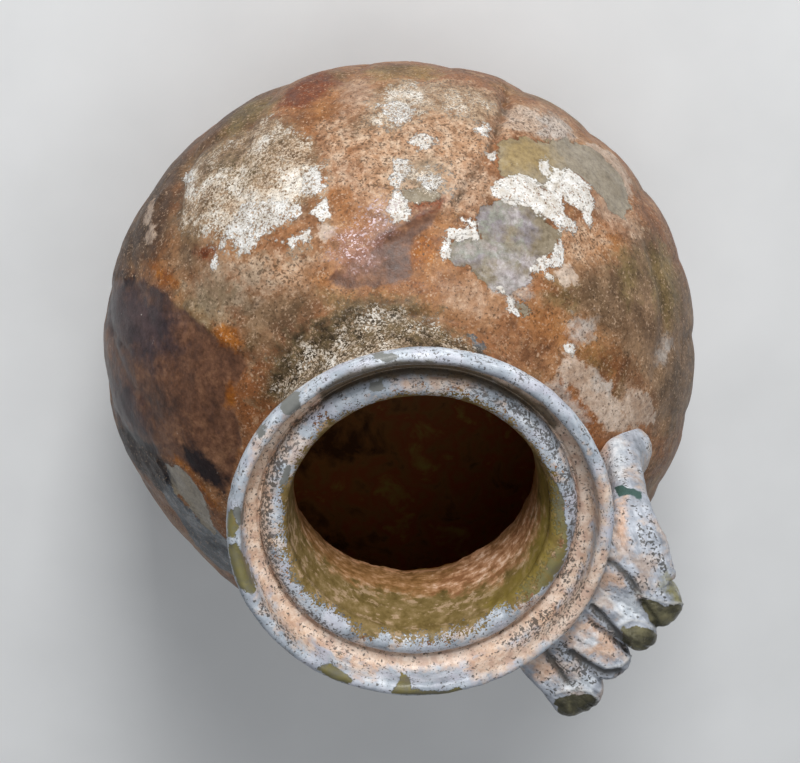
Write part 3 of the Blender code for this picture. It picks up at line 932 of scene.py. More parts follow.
def drawnForm(name, stations):
    # a rounded section is drawn along +X; a station is its distance, half width, half height and side shift
    bpy.ops.object.select_all(action="DESELECT")
    bpy.ops.mesh.primitive_circle_add(vertices=handle["corners"], radius=1.0, fill_type="NGON",
                                      location=(0, 0, 0), rotation=(0, math.pi / 2, 0))
    piece = bpy.context.object
    piece.name = name
    bpy.ops.object.transform_apply(location=False, rotation=True, scale=False)
    squareOff(piece)
    bpy.ops.object.mode_set(mode="EDIT")
    bpy.ops.mesh.select_all(action="SELECT")
    distance, halfWidth, halfHeight, shift = stations[0]
    bpy.ops.transform.resize(value=(1, halfWidth, halfHeight), center_override=(0, 0, 0))
    bpy.ops.transform.translate(value=(distance, shift, 0))
    for far in stations[1:]:
        step = (far[0] - distance, far[3] - shift, 0)
        bpy.ops.mesh.extrude_region_move(TRANSFORM_OT_translate={"value": step})
        bpy.ops.transform.resize(value=(1, far[1] / halfWidth, far[2] / halfHeight),
                                 center_override=(far[0], far[3], 0))
        distance, halfWidth, halfHeight, shift = far
    bpy.ops.mesh.select_all(action="SELECT")
    bpy.ops.mesh.normals_make_consistent(inside=False)
    bpy.ops.object.mode_set(mode="OBJECT")
    return piece


def layAlong(piece, root, tip):
    # turns a drawn form from +X to the way from root to tip
    way = tip - root
    flat = math.atan2(way.y, way.x)
    rise = math.atan2(way.z, math.hypot(way.x, way.y))
    selectOnly(piece)
    piece.rotation_euler = (0, -rise, flat)
    piece.location = root
    bpy.ops.object.transform_apply(location=True, rotation=True, scale=False)


def makeFold(number, fold):
    rimTurn, tipTurn, reachShare, rimShare, tipShare, liftShare = fold
    foldZ = vessel["height"] - handle["foldDrop"]
    root = polar(vessel["throatRadius"] + vessel["neckWall"] + vessel["lipRound"], rimTurn, foldZ)
    reach = vessel["rimRadius"] + reachShare * handle["foldReach"]
    tip = polar(reach, tipTurn, foldZ + liftShare * handle["foldHeight"])
    length = (tip - root).length
    rimHalf = rimShare * handle["foldWidth"] / 2
    tipHalf = tipShare * handle["foldWidth"] / 2
    high = handle["foldHeight"] / 2
    roundLength = 0.55 * handle["foldHeight"]
    straight = length - roundLength
    stations = []
    for i in range(6):
        t = i / 5
        bulge = 1 + 0.05 * math.sin(3.0 * t * math.pi + number)
        halfWidth = (rimHalf + (tipHalf - rimHalf) * t) * bulge
        stations.append((t * straight, halfWidth, high * (1 - 0.06 * (1 - t)), 0.0))
    for angle in (20, 38, 54, 68, 80):
        shrink = math.cos(math.radians(angle)) ** 0.9
        distance = straight + roundLength * math.sin(math.radians(angle))
        stations.append((distance, tipHalf * shrink, high * shrink, 0.0))
    piece = drawnForm("fold", stations)
    layAlong(piece, root, tip)
    return piece


def strapPlaces():
    # the strap's path: place, half width, half thickness and azimuth, from the pad to the first fold
    h, v = handle, vessel
    neckRadius = v["throatRadius"] + v["neckWall"]
    stemRadius = neckRadius + h["stemGap"] + h["stemThickness"] / 2
    padTurn = math.acos((stemRadius + h["padSeat"]) / v["bodyRadius"])
    padZ = v["bodyCentreHeight"] + globeHalfHeight() * math.sin(padTurn)
    rise = v["height"] - h["foldDrop"] - padZ
    wayOut = v["rimRadius"] + folds[0][2] * h["foldReach"] - stemRadius
    wide, thick, padWide, padLong = h["stemWidth"], h["stemThickness"], h["padWidth"], h["padLength"]
    path = [    # share of the rise, azimuth, share of the way out, width, thickness
        (-0.14, -0.5, 0.00, 0.90 * padWide, 0.88 * padLong),
        (-0.06, -0.6, 0.00, padWide, padLong),
        (0.03, -0.7, 0.00, 0.96 * padWide, 0.88 * padLong),
        (0.09, -0.8, 0.00, 0.93 * padWide, 0.74 * padLong),
        (0.16, -1.0, 0.00, 0.5 * (padWide + wide), 0.60 * padLong),
        (0.28, -1.3, 0.00, wide, 1.08 * thick),
        (0.46, -1.6, 0.00, 0.97 * wide, thick),
        (0.64, -2.0, -0.03, 1.03 * wide, 1.06 * thick),
        (0.79, -3.6, -0.05, 1.10 * wide, 1.35 * thick),
        (0.91, -7.6, 0.10, 1.15 * wide, 1.62 * thick),
        (0.99, -14.0, 0.52, 0.80 * wide, 1.10 * thick),
    ]
    return [(polar(stemRadius + out * wayOut, azimuth, padZ + up * rise), width / 2, thickness / 2, azimuth)
            for up, azimuth, out, width, thickness in path]


def makeStrap():
    # a round section is drawn from place to place, turned and sized at each
    places = strapPlaces()
    bpy.ops.object.select_all(action="DESELECT")
    bpy.ops.mesh.primitive_circle_add(vertices=handle["corners"], radius=1.0, fill_type="NGON",
                                      location=(0, 0, 0))
    piece = bpy.context.object
    piece.name = "strap"
    bpy.ops.object.mode_set(mode="EDIT")
    bpy.ops.mesh.select_all(action="SELECT")
    for _ in places[1:]:
        bpy.ops.mesh.extrude_region_move(TRANSFORM_OT_translate={"value": (0, 0, 1.0)})
    bpy.ops.mesh.select_all(action="SELECT")
    bpy.ops.mesh.normals_make_consistent(inside=False)
    bpy.ops.object.mode_set(mode="OBJECT")
    points = readPoints(piece.data)
    centres = [place for place, _, _, _ in places]
    moved = points.copy()
    for i, (place, halfWidth, halfThickness, azimuth) in enumerate(places):
        along = (centres[min(i + 1, len(places) - 1)] - centres[max(i - 1, 0)]).normalized()
        side = along.cross(polar(1.0, azimuth, 0.0)).normalized()
        through = side.cross(along)
        ring = np.abs(points[:, 2] - i) < 0.5
        flatter = 0.85 if i < handle["padRows"] else handle["squareness"]
        flat = np.sign(points[ring]) * np.abs(points[ring]) ** flatter
        offset = np.outer(flat[:, 1] * halfWidth, side) + np.outer(flat[:, 0] * halfThickness, through)
        moved[ring] = np.array(place) + offset
    writePoints(piece.data, moved)
    return piece


def makeCutter():
    # the vessel's outside above the shoulder, drawn in by the sink, to cut the roots of the handle with
    profile = vesselProfile()
    crest = max(range(len(profile)), key=lambda i: profile[i][1])
    sink = handle["sink"]
    edge = vessel["rimRadius"] - sink
    bandEnd = vessel["height"] - vessel["rimBandDepth"]
    outer = [(r - sink, z) for r, z in profile[crest:] if vessel["bodyCentreHeight"] < z <= bandEnd + 1e-6]
    low = outer[-1][1]
    outer = [(edge, vessel["height"] + 0.01)] + outer
    return spinProfile("cutter", [(0.0, vessel["height"] + 0.01)] + outer + [(0.0, low)], 128)


def applyAll(piece):
    selectOnly(piece)
    for step in list(piece.modifiers):
        bpy.ops.object.modifier_apply(modifier=step.name)


def weld(pieces, cutter):
    # one skin over all the forms, with the creases between them softened, cut where it meets the vessel
    bpy.ops.object.select_all(action="DESELECT")
    for piece in pieces:
        piece.select_set(True)
    bpy.context.view_layer.objects.active = pieces[0]
    bpy.ops.object.join()
    joined = bpy.context.object
    skin = joined.modifiers.new("skin", "REMESH")
    skin.mode = "VOXEL"
    skin.voxel_size = handle["grain"]
    melt = joined.modifiers.new("melt", "SMOOTH")
    melt.factor = 0.5
    melt.iterations = handle["melt"]
    cut = joined.modifiers.new("cut", "BOOLEAN")
    cut.operation = "DIFFERENCE"
    cut.solver = "EXACT"
    cut.object = cutter
    applyAll(joined)
    bpy.data.objects.remove(cutter)
    return joined


# Finishes seen on the handle, outlined in the photograph's pixels
handlePatches = {
    "bare": [       # slick olive glass
        [(639, 597), (653, 601), (668, 606), (684, 605), (694, 612), (684, 632), (660, 636), (648, 620)],
        [(620, 628), (632, 625), (645, 626), (656, 632), (664, 642), (650, 658), (636, 654), (624, 642)],
        [(554, 698), (574, 693), (592, 695), (600, 702), (604, 716), (580, 724), (556, 716)],
    ],
    "mossy": [[(660, 572), (670, 576), (682, 590), (686, 604), (674, 602), (664, 588)]],
    "teal": [       # a dark green chip on the stem
        [(613, 487), (622, 484), (628, 490), (634, 489), (643, 492), (641, 501), (634, 496), (627, 492),
         (619, 498)],
    ],
    "cream": [      # peach earth
        [(600, 440), (608, 438), (613, 449), (612, 462), (607, 465), (602, 456)],
        [(617, 500), (625, 498), (628, 524), (624, 546), (616, 540)],
        [(600, 569), (616, 572), (624, 586), (606, 586), (596, 578)],
        [(564, 630), (577, 629), (578, 645), (566, 645)],
        [(574, 622), (590, 618), (606, 632), (622, 650), (604, 661), (580, 652)],
        [(530, 660), (546, 655), (556, 676), (540, 682)],
    ],
    "striped": [    # film with more dark splits
        [(640, 520), (650, 528), (672, 572), (664, 582), (650, 556)],
        [(546, 652), (566, 648), (586, 664), (594, 684), (572, 692), (554, 672)],
        [(590, 604), (600, 610), (618, 630), (634, 652), (626, 657), (606, 642), (590, 622)],
        [(617, 566), (642, 580), (664, 603), (640, 600), (624, 584)],
    ],
    "white": [      # whole silvery film
        [(612, 600), (636, 598), (642, 616), (622, 622)],
        [(578, 636), (595, 632), (598, 645), (582, 649)],
        [(560, 680), (596, 676), (590, 690), (566, 690)],
        # painted light: this patch brightens the top of the strap, where it lies in shade
        [(607, 440), (622, 438), (627, 462), (622, 482), (609, 478)],
    ],
}

# Lines between the folds, pressed in and darkened as painted shade
handleGrooves = [
    [(571, 653), (586, 664), (604, 674), (621, 672)],
    [(604, 560), (617, 566), (632, 582), (639, 595)],
    [(641, 602), (650, 613), (656, 624)],
    [(592, 606), (606, 622), (620, 640), (634, 654)],
    [(600, 614), (614, 630), (628, 644)],
    [(546, 652), (556, 668), (568, 684)],
]

# Their sharp edges, above the slick ends: raised, with a pale line of film and a painted highlight
handleRidges = [
    [(638, 594), (652, 598), (667, 603), (684, 603)],
    [(618, 625), (631, 620), (645, 622), (655, 629)],
    [(574, 646), (588, 657), (606, 667), (622, 665), (630, 655)],
    [(556, 693), (574, 688), (590, 691), (598, 699)],
    [(580, 620), (582, 609), (592, 602), (600, 606)],
    [(600, 589), (612, 602), (622, 616)],
]


def nearLines(places, lines, reach):
    # 1 on the lines, falling to 0 at reach
    away = np.full(len(places), 99.0)
    for line in lines:
        away = np.minimum(away, np.abs(insideDistance(places, np.array(line, float) * pixelSize, False)))
    return smoothStep(-away, -reach, -0.15 * reach)


def drawnNoise(azimuth, radius, heights, scale, start=0.0):
    # streaks along the way the glass was drawn, with a scale for each of the three
    return np.array([noise.noise(Vector((a * scale[0] + start, r * scale[1], z * scale[2])))
                     for a, r, z in zip(azimuth, radius, heights)])


def handlePush(points, onFolds, azimuth, radius):
    # streaks and lines along the folds, fainter streaks on the stem, and lumps all over
    streaks = drawnNoise(azimuth, radius, points[:, 2], (0.9, 60, 60))
    lines = drawnNoise(azimuth, radius, points[:, 2], (2.4, 90, 50), 5)
    push = onFolds * (handle["streakDepth"] * streaks + handle["lineDepth"] * lines)
    push += (1 - onFolds) * handle["stemDepth"] * streaks
    return push + handle["lumpDepth"] * lumps(points, handle["lumpSize"], 3, 4.4)


def makeHandle():
    pieces = [makeStrap()] + [makeFold(i, fold) for i, fold in enumerate(folds)]
    piece = weld(pieces, makeCutter())
    piece.name = piece.data.name = "ewerHandle"
    mesh = piece.data
    points = readPoints(mesh)
    normals = readPoints(mesh, "normal")
    radius = np.hypot(points[:, 0], points[:, 1])
    azimuth = np.degrees(np.arctan2(points[:, 1], points[:, 0]))
    onFolds = smoothStep(points[:, 2], *handle["foldsFrom"])
    push = handlePush(points, onFolds, azimuth, radius)
    places = inPhoto(points) * pixelSize
    shown = cameraFacing(points, normals) > handle["leastFacing"]
    groove = np.where(shown, nearLines(places, handleGrooves, handle["grooveWidth"]), 0)
    ridge = np.where(shown, nearLines(places, handleRidges, handle["ridgeWidth"]), 0)
    push += handle["ridgeHeight"] * ridge - handle["grooveDepth"] * groove
    reached = (radius - vessel["rimRadius"]) / handle["foldReach"]
    pastFirst = -azimuth - handle["lowerTurn"] - handle["lowerLean"] * reached
    writeField(mesh, "groove", groove)
    writeField(mesh, "ridge", ridge)
    writeField(mesh, "onFolds", onFolds * smoothStep(pastFirst, -2, 2))
    writePoints(mesh, points + normals * (0.001 * push)[:, None])

    # the patches are laid on the pushed form
    points = readPoints(mesh)
    shown = cameraFacing(points, readPoints(mesh, "normal")) > handle["leastFacing"]
    for kind, outlines in handlePatches.items():
        writeField(mesh, kind, patchInPhoto(points, shown, outlines))
    selectOnly(piece)
    bpy.ops.object.shade_smooth()
    print("handle:", sum(len(face.vertices) - 2 for face in mesh.polygons), "triangles")
    return piece


ewerHandle = makeHandle()
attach(ewerHandle, "root")
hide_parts("handle")


# Finishes

def newMaterial(name):
    made = bpy.data.materials.new(name)
    made.use_nodes = True
    tree = made.node_tree
    tree.nodes.clear()
    output = addNode(tree, "OutputMaterial")
    shader = addNode(tree, "BsdfPrincipled")
    tree.links.new(shader.outputs[0], output.inputs[0])
    place = addNode(tree, "TexCoord").outputs["Object"]
    return made, tree, shader, place


def patchMask(tree, field, ragged, reach, soft=0.12, strength=1.0):
    # 1 inside the patches of that field, with an edge that wanders by reach mm
    distance = addNode(tree, "Attribute", {"attribute_name": field}).outputs["Fac"]
    wander = addNode(tree, "MapRange", {"From Min": 0.3, "From Max": 0.7, "To Min": -reach, "To Max": reach,
                                        "clamp": False}, {"Value": ragged})
    edge = addNode(tree, "Math", {"operation": "ADD"}, {0: distance, 1: wander})
    return addNode(tree, "MapRange", {"From Min": -soft, "From Max": soft, "To Max": strength},
                   {"Value": edge})


def hiddenMask(tree, pattern, low, high):
    # where a pattern is strong on the sides that the photograph doesn't show
    hidden = addNode(tree, "Attribute", {"attribute_name": "hidden"}).outputs["Fac"]
    strong = addNode(tree, "MapRange", {"From Min": low, "From Max": high}, {"Value": pattern})
    return addNode(tree, "Math", {"operation": "MULTIPLY"}, {0: hidden, 1: strong})


def blended(tree, first, second, share, lift=0.0):
    # two patterns in one: this share of the first, and the rest of the second
    rest = addNode(tree, "Math", {"operation": "MULTIPLY_ADD", 1: 1 - share, 2: lift}, {0: second})
    return addNode(tree, "Math", {"operation": "MULTIPLY_ADD", 1: share}, {0: first, 2: rest})


def covered(tree, under, mask, finish, pattern=None):
    # a finish over what lies there: one colour, or a ramp of colours that follows a pattern
    if pattern is None:
        return addNode(tree, "MixRGB", {2: finish}, {0: mask, 1: under})
    stain = addNode(tree, "ValToRGB", {"stops": finish}, {0: pattern})
    return addNode(tree, "MixRGB", {}, {0: mask, 1: under, 2: stain})


def patched(tree, under, patch, ragged, finish, pattern=None):
    # a finish over the patches of one field
    field, reach, soft, strength = patch
    return covered(tree, under, patchMask(tree, field, ragged, reach, soft, strength), finish, pattern)


def spotted(tree, under, spot, finish, pattern=None):
    # a finish where a pattern runs from low to high
    source, low, high, strength = spot
    mask = addNode(tree, "MapRange", {"From Min": low, "From Max": high, "To Max": strength},
                   {"Value": source})
    return covered(tree, under, mask, finish, pattern)


def joinShader(tree, shader, colour, rough, height):
    # what every finish of the ewer gives its shader: glass with a thin uneven skin
    tree.links.new(colour.outputs[0], shader.inputs["Base Color"])
    tree.links.new(rough.outputs[0], shader.inputs["Roughness"])
    bump = addNode(tree, "Bump", {"Strength": 0.7, "Distance": 0.0005}, {"Height": height})
    tree.links.new(bump.outputs[0], shader.inputs["Normal"])
    shader.inputs["IOR"].default_value = 1.5


# Blown soda-lime glass after long burial. Its skin has turned to a brown, enamel-like crust with chalky
# white flakes, so the eye sees dull earthen colour with a waxy sheen, and slick glass where it has gone.
bodyLook = {
    "broadMm": 26.0, "driftMm": 15.0, "cloudMm": 9.0, "raggedMm": 3.6, "mottleMm": 2.6, "fineMm": 1.5,
    "grainMm": 0.54,              # the real pits are about 0.3 mm, drawn a little larger so that they show
    "crust": [(0.36, "6b4a34"), (0.44, "865d40"), (0.50, "996c4b"), (0.56, "a67954"), (0.65, "b88f6c")],
    "rust": "a0602f", "moss": "766642", "vein": "6b4a33", "dust": "c8a582",
    # stains with soft edges, with painted shade in dim and in dull along the globe's edges: field, how far
    # its edge wanders, its softness (mm) and its strength
    "stains": [("warm", 4, 4, 0.6), ("dull", 4, 4, 0.85), ("dim", 4, 4, 0.8), ("tan", 4, 3, 0.85),
               ("cream", 4, 3, 0.65), ("olive", 4, 3, 0.6), ("ash", 4, 3, 0.7)],
    "warm": [(0.38, "8e5526"), (0.62, "b47b45")],
    # dull: dull brown crust, and painted shade along the globe's edges
    "dull": [(0.38, "68533e"), (0.62, "947a60")],
    # dim: painted shade on the globe's left edge, over dark brown crust
    "dim": [(0.38, "3e2c20"), (0.62, "5e4633")],
    "tan": [(0.38, "ae8666"), (0.50, "c7a283"), (0.62, "dcc1a7")],
    "cream": [(0.40, "b08d72"), (0.60, "d6bba4")],
    "olive": [(0.38, "675a35"), (0.62, "8b7a4a")],
    "ash": [(0.40, "8f7f69"), (0.60, "b6a590")],
    # panels and flakes of the film, in the same way
    "panels": [("plumCool", 5, 5, 0.9), ("amber", 1.8, 0.9, 0.85), ("ember", 2.4, 1.4, 0.9),
               ("chalk", 2.4, 0.3, 1), ("peach", 2.2, 0.6, 0.85), ("frost", 2.6, 1.4, 0.7),
               ("mauve", 3, 2, 0.7)],
    "plum": [(0.38, "523a2f"), (0.50, "704e3b"), (0.62, "936b50")],
    "plumCool": [(0.40, "362c32"), (0.60, "4b3e43")],
    "amber": [(0.38, "74390f"), (0.62, "b9742a")],
    "ember": [(0.40, "55250d"), (0.60, "803e1a")],
    # chalk: grey-white coat, its dark blue-grey end painted shade on the lower left strip
    "chalk": [(0.38, "3a4148"), (0.50, "6b7178"), (0.62, "a9aeb2")],
    "peach": [(0.40, "b79c86"), (0.60, "d8c7b8")],
    "frost": [(0.40, "a69e97"), (0.60, "cdc8c3")],
    "mauve": [(0.40, "805a50"), (0.60, "a67d70")],
    # tints of the bare glass
    "tints": [("honey", 3, 3, 0.9), ("violet", 2.5, 2, 0.8), ("film", 3, 1.2, 0.55)],
    "bare": [(0.40, "877a64"), (0.60, "9c917e")],
    "honey": [(0.40, "9a8250"), (0.60, "ac9463")],
    "violet": [(0.36, "807b84"), (0.48, "9a949b"), (0.54, "999e95"), (0.64, "b1a7a7")],
    "film": [(0.40, "a39a9c"), (0.60, "ded6d8")],
    "mottled": ("tan", "cream", "film"),          # these follow the small mottle, the others the clouds
    "pitGround": [(0.38, "5a4d38"), (0.62, "a08a6c")],
    "soot": [(0.38, "30291b"), (0.62, "6f5f42")],
    "pitWhite": [(0.36, "c8a98c"), (0.50, "ddcdb9"), (0.62, "eee8de")],
    "white": [(0.36, "c6bdb0"), (0.46, "d7d2cb"), (0.54, "e2e0db"), (0.66, "f1f0ee")],
    # paintedHighlight is the colour of the painted glints
    # shadedSeam: painted shade in the deep creases, with the dark earth of their cracks
    "speck": "d6b99e", "dot": "4c3a2a", "ink": "1c191f", "shadedSeam": "38281c", "paintedHighlight": "e6cfd2",
    "shade": [(0.30, "948c85"), (0.50, "e0ddd9"), (0.64, "ffffff")],
}
mouthLook = {
    "bandMm": 2.4, "chipMm": 0.55, "earthMm": 11.0, "streakMm": 2.2,
    "silver": [(0.36, "7b838c"), (0.46, "9da5ae"), (0.54, "b5bcc4"), (0.66, "e6eaee")],
    "peach": [(0.40, "bd9a82"), (0.50, "d0b299"), (0.60, "e0c9b5")],
    # shade is the colour of the painted shade in the groove at the top
    "lilac": "c3bfcb", "fleck": "433e39", "shade": "4f4128", "grey": "72736f",
    "glass": [(0.40, "66624f"), (0.50, "756e45"), (0.60, "7d6a38")],
    "neck": [(0.34, "584826"), (0.48, "79663d"), (0.58, "927c57"), (0.70, "b8a284")],
    "neckDust": "bda085",
    "neckOlive": [(0.40, "77662f"), (0.60, "93823f")],
    # neckRustAndHighlight: torn orange crust, its brightest tones a painted highlight
    "neckRustAndHighlight": [(0.44, "8f6343"), (0.52, "bd8e6b"), (0.60, "efcdb2")],
    "throat": [(0.38, "6c4a27"), (0.49, "946b42"), (0.56, "b48862"), (0.63, "d5b193")],
    # throatEdge: light crust on the throat's edge, partly a painted highlight
    "throatEdge": "cf9a74",
    "inside": [(0.38, "55351a"), (0.48, "9a6836"), (0.56, "a0562c"), (0.66, "b0984c")],
}


def crustColour(tree, place, patterns):
    # the brown crust with its stains, panels, bare glass and cracks, and painted shade along the globe's
    # edges and in the deep creases
    look = bodyLook
    broad, cloud, mottle, _, ragged = patterns
    colour = addNode(tree, "ValToRGB", {"stops": look["crust"]}, {0: blended(tree, broad, cloud, 0.4)})
    drift = addNode(tree, "TexNoise", {"Scale": perMetre(look["driftMm"]), "Detail": 5, "Distortion": 0.6},
                    {"Vector": place})
    colour = spotted(tree, colour, (drift, 0.52, 0.66, 0.45), look["rust"])
    colour = spotted(tree, colour, (drift, 0.46, 0.34, 0.45), look["moss"])
    colour = spotted(tree, colour, (ragged, 0.46, 0.36, 0.45), look["vein"])
    colour = spotted(tree, colour, (ragged, 0.55, 0.66, 0.5), look["dust"])
    for stain in look["stains"]:
        pattern = mottle if stain[0] in look["mottled"] else cloud
        colour = patched(tree, colour, stain, ragged, look[stain[0]], pattern)
    clotted = blended(tree, mottle, cloud, 0.4)
    plumMask = addNode(tree, "Math", {"operation": "MAXIMUM"}, {
        0: patchMask(tree, "plum", ragged, 1.0, 0.5), 1: hiddenMask(tree, broad, 0.56, 0.60)})
    colour = covered(tree, colour, plumMask, look["plum"], clotted)
    for panel in look["panels"]:
        colour = patched(tree, colour, panel, ragged, look[panel[0]], clotted)
    bareMask = patchMask(tree, "bare", ragged, 1.3)
    colour = covered(tree, colour, bareMask, look["bare"], cloud)
    for field, reach, soft, strength in look["tints"]:
        tint = patchMask(tree, field, ragged, reach, soft, strength)
        mask = addNode(tree, "Math", {"operation": "MULTIPLY"}, {0: tint, 1: bareMask})
        colour = covered(tree, colour, mask, look[field], mottle if field in look["mottled"] else cloud)
    colour = patched(tree, colour, ("ink", 2.4, 1.6, 0.92), ragged, look["ink"])
    # painted shade along the deep creases, over the dark earth in their cracks
    shadedSeam = addNode(tree, "Attribute", {"attribute_name": "shadedSeam"}).outputs["Fac"]
    near = addNode(tree, "MapRange", {"From Min": 1.1, "From Max": 0.2, "To Max": 0.75}, {"Value": shadedSeam})
    broken = addNode(tree, "MapRange", {"From Min": 0.40, "From Max": 0.58}, {"Value": ragged})
    shadedSeamMask = addNode(tree, "Math", {"operation": "MULTIPLY"}, {0: near, 1: broken})
    return covered(tree, colour, shadedSeamMask, look["shadedSeam"]), bareMask, plumMask


def pittedSkin(tree, patterns, colour, inner, onTan):
    # white skin pitted through to dark glass: its grains thin out towards the patch's edge
    look = bodyLook
    _, cloud, mottle, grain, ragged = patterns
    offTan = addNode(tree, "Math", {"operation": "MULTIPLY_ADD", 1: -0.2, 2: 0.7}, {0: onTan})
    groundMask = addNode(tree, "MapRange", {"From Min": 0.3, "From Max": 0.9}, {"Value": inner})
    groundMask = addNode(tree, "Math", {"operation": "MULTIPLY"}, {0: groundMask, 1: offTan})
    colour = covered(tree, colour, groundMask, look["pitGround"], mottle)
    colour = patched(tree, colour, ("soot", 3, 2.5, 0.9), ragged, look["soot"], mottle)
    nearWhite = addNode(tree, "Attribute", {"attribute_name": "white"}).outputs["Fac"]
    nearWhite = addNode(tree, "MapRange", {"From Min": -7, "From Max": 0, "To Max": 0.06},
                        {"Value": nearWhite})
    thick = addNode(tree, "MapRange", {"From Min": 0.3, "From Max": 0.7, "To Min": -0.11, "To Max": 0.13,
                                       "clamp": False}, {"Value": cloud})
    thick = addNode(tree, "Math", {"operation": "ADD"}, {0: thick, 1: nearWhite})
    density = addNode(tree, "MapRange", {"To Min": -0.36, "To Max": -0.01}, {"Value": inner})
    sparse = patchMask(tree, "thin", ragged, 3, 3, 0.075)
    density = addNode(tree, "Math", {"operation": "SUBTRACT"}, {0: density, 1: sparse})
    for part in (thick, grain):
        density = addNode(tree, "Math", {"operation": "ADD"}, {0: density, 1: part})
    grains = addNode(tree, "MapRange", {"From Min": 0.43, "From Max": 0.54}, {"Value": density})
    return covered(tree, colour, grains, look["pitWhite"], cloud), grains


def whiteFlakes(tree, patterns, colour, inner):
    # thick chalky flakes with a few holes
    _, _, mottle, grain, ragged = patterns
    crumbs = blended(tree, grain, ragged, 0.25, 0.01)
    loose = hiddenMask(tree, ragged, 0.62, 0.635)
    whole = patchMask(tree, "white", crumbs, 2.2, 0.2)
    whole = addNode(tree, "Math", {"operation": "MAXIMUM"}, {0: whole, 1: loose})
    pitted = addNode(tree, "Math", {"operation": "MULTIPLY_ADD", 1: -0.08}, {0: inner, 2: grain})
    holes = addNode(tree, "MapRange", {"From Min": 0.32, "From Max": 0.40, "To Min": 0.2},
                    {"Value": pitted})
    whiteMask = addNode(tree, "Math", {"operation": "MULTIPLY"}, {0: whole, 1: holes})
    return covered(tree, colour, whiteMask, bodyLook["white"], mottle), whiteMask


def dustAndGlints(tree, place, patterns, colour, onTan, cleanMask, whiteMask):
    # dark dots and pale specks on the crust, fine shading over all, and painted glints (painted highlights)
    # on the flaking film
    look = bodyLook
    _, _, mottle, grain, ragged = patterns
    crusted = addNode(tree, "Math", {"operation": "SUBTRACT", 0: 1.0}, {1: cleanMask})
    dots = addNode(tree, "Math", {"operation": "MULTIPLY_ADD", 1: 0.065}, {0: onTan, 2: grain})
    dots = addNode(tree, "MapRange", {"From Min": 0.60, "From Max": 0.68, "To Max": 0.7}, {"Value": dots})
    dots = addNode(tree, "Math", {"operation": "MULTIPLY"}, {0: dots, 1: crusted})
    colour = covered(tree, colour, dots, look["dot"])
    specks = addNode(tree, "MapRange", {"From Min": 0.42, "From Max": 0.35, "To Max": 0.55},
                     {"Value": grain})
    patchy = addNode(tree, "MapRange", {"From Min": 0.42, "From Max": 0.56}, {"Value": mottle})
    for part in (patchy, crusted):
        specks = addNode(tree, "Math", {"operation": "MULTIPLY"}, {0: specks, 1: part})
    colour = covered(tree, colour, specks, look["speck"])
    fine = addNode(tree, "TexNoise", {"Scale": perMetre(look["fineMm"]), "Detail": 6, "Roughness": 0.75},
                   {"Vector": place})
    shade = addNode(tree, "ValToRGB", {"stops": look["shade"]}, {0: fine})
    unevenness = addNode(tree, "MapRange", {"To Min": 0.8, "To Max": 0.35}, {"Value": whiteMask})
    colour = addNode(tree, "MixRGB", {"blend_type": "MULTIPLY"}, {0: unevenness, 1: colour, 2: shade})
    # painted highlights: bright glints drawn into the colour of the flaking film
    bright = addNode(tree, "MapRange", {"From Min": 0.56, "From Max": 0.62, "To Max": 0.85},
                     {"Value": grain})
    paintedGlintMask = addNode(tree, "Math", {"operation": "MULTIPLY"}, {
        0: bright, 1: patchMask(tree, "paintedGlints", ragged, 3, 3)})
    return covered(tree, colour, paintedGlintMask, look["paintedHighlight"])


def bodyColour(tree, place, patterns):
    _, cloud, _, _, ragged = patterns
    colour, bareMask, plumMask = crustColour(tree, place, patterns)
    inner = addNode(tree, "Math", {"operation": "MAXIMUM"}, {
        0: patchMask(tree, "pepper", ragged, 2.6, 3.5), 1: hiddenMask(tree, cloud, 0.54, 0.64)})
    onTan = patchMask(tree, "tan", ragged, 3, 2)
    colour, grains = pittedSkin(tree, patterns, colour, inner, onTan)
    colour, whiteMask = whiteFlakes(tree, patterns, colour, inner)
    cleanMask = addNode(tree, "Math", {"operation": "MAXIMUM"}, {0: bareMask, 1: plumMask})
    colour = dustAndGlints(tree, place, patterns, colour, onTan, cleanMask, whiteMask)
    return colour, bareMask, plumMask, whiteMask, grains


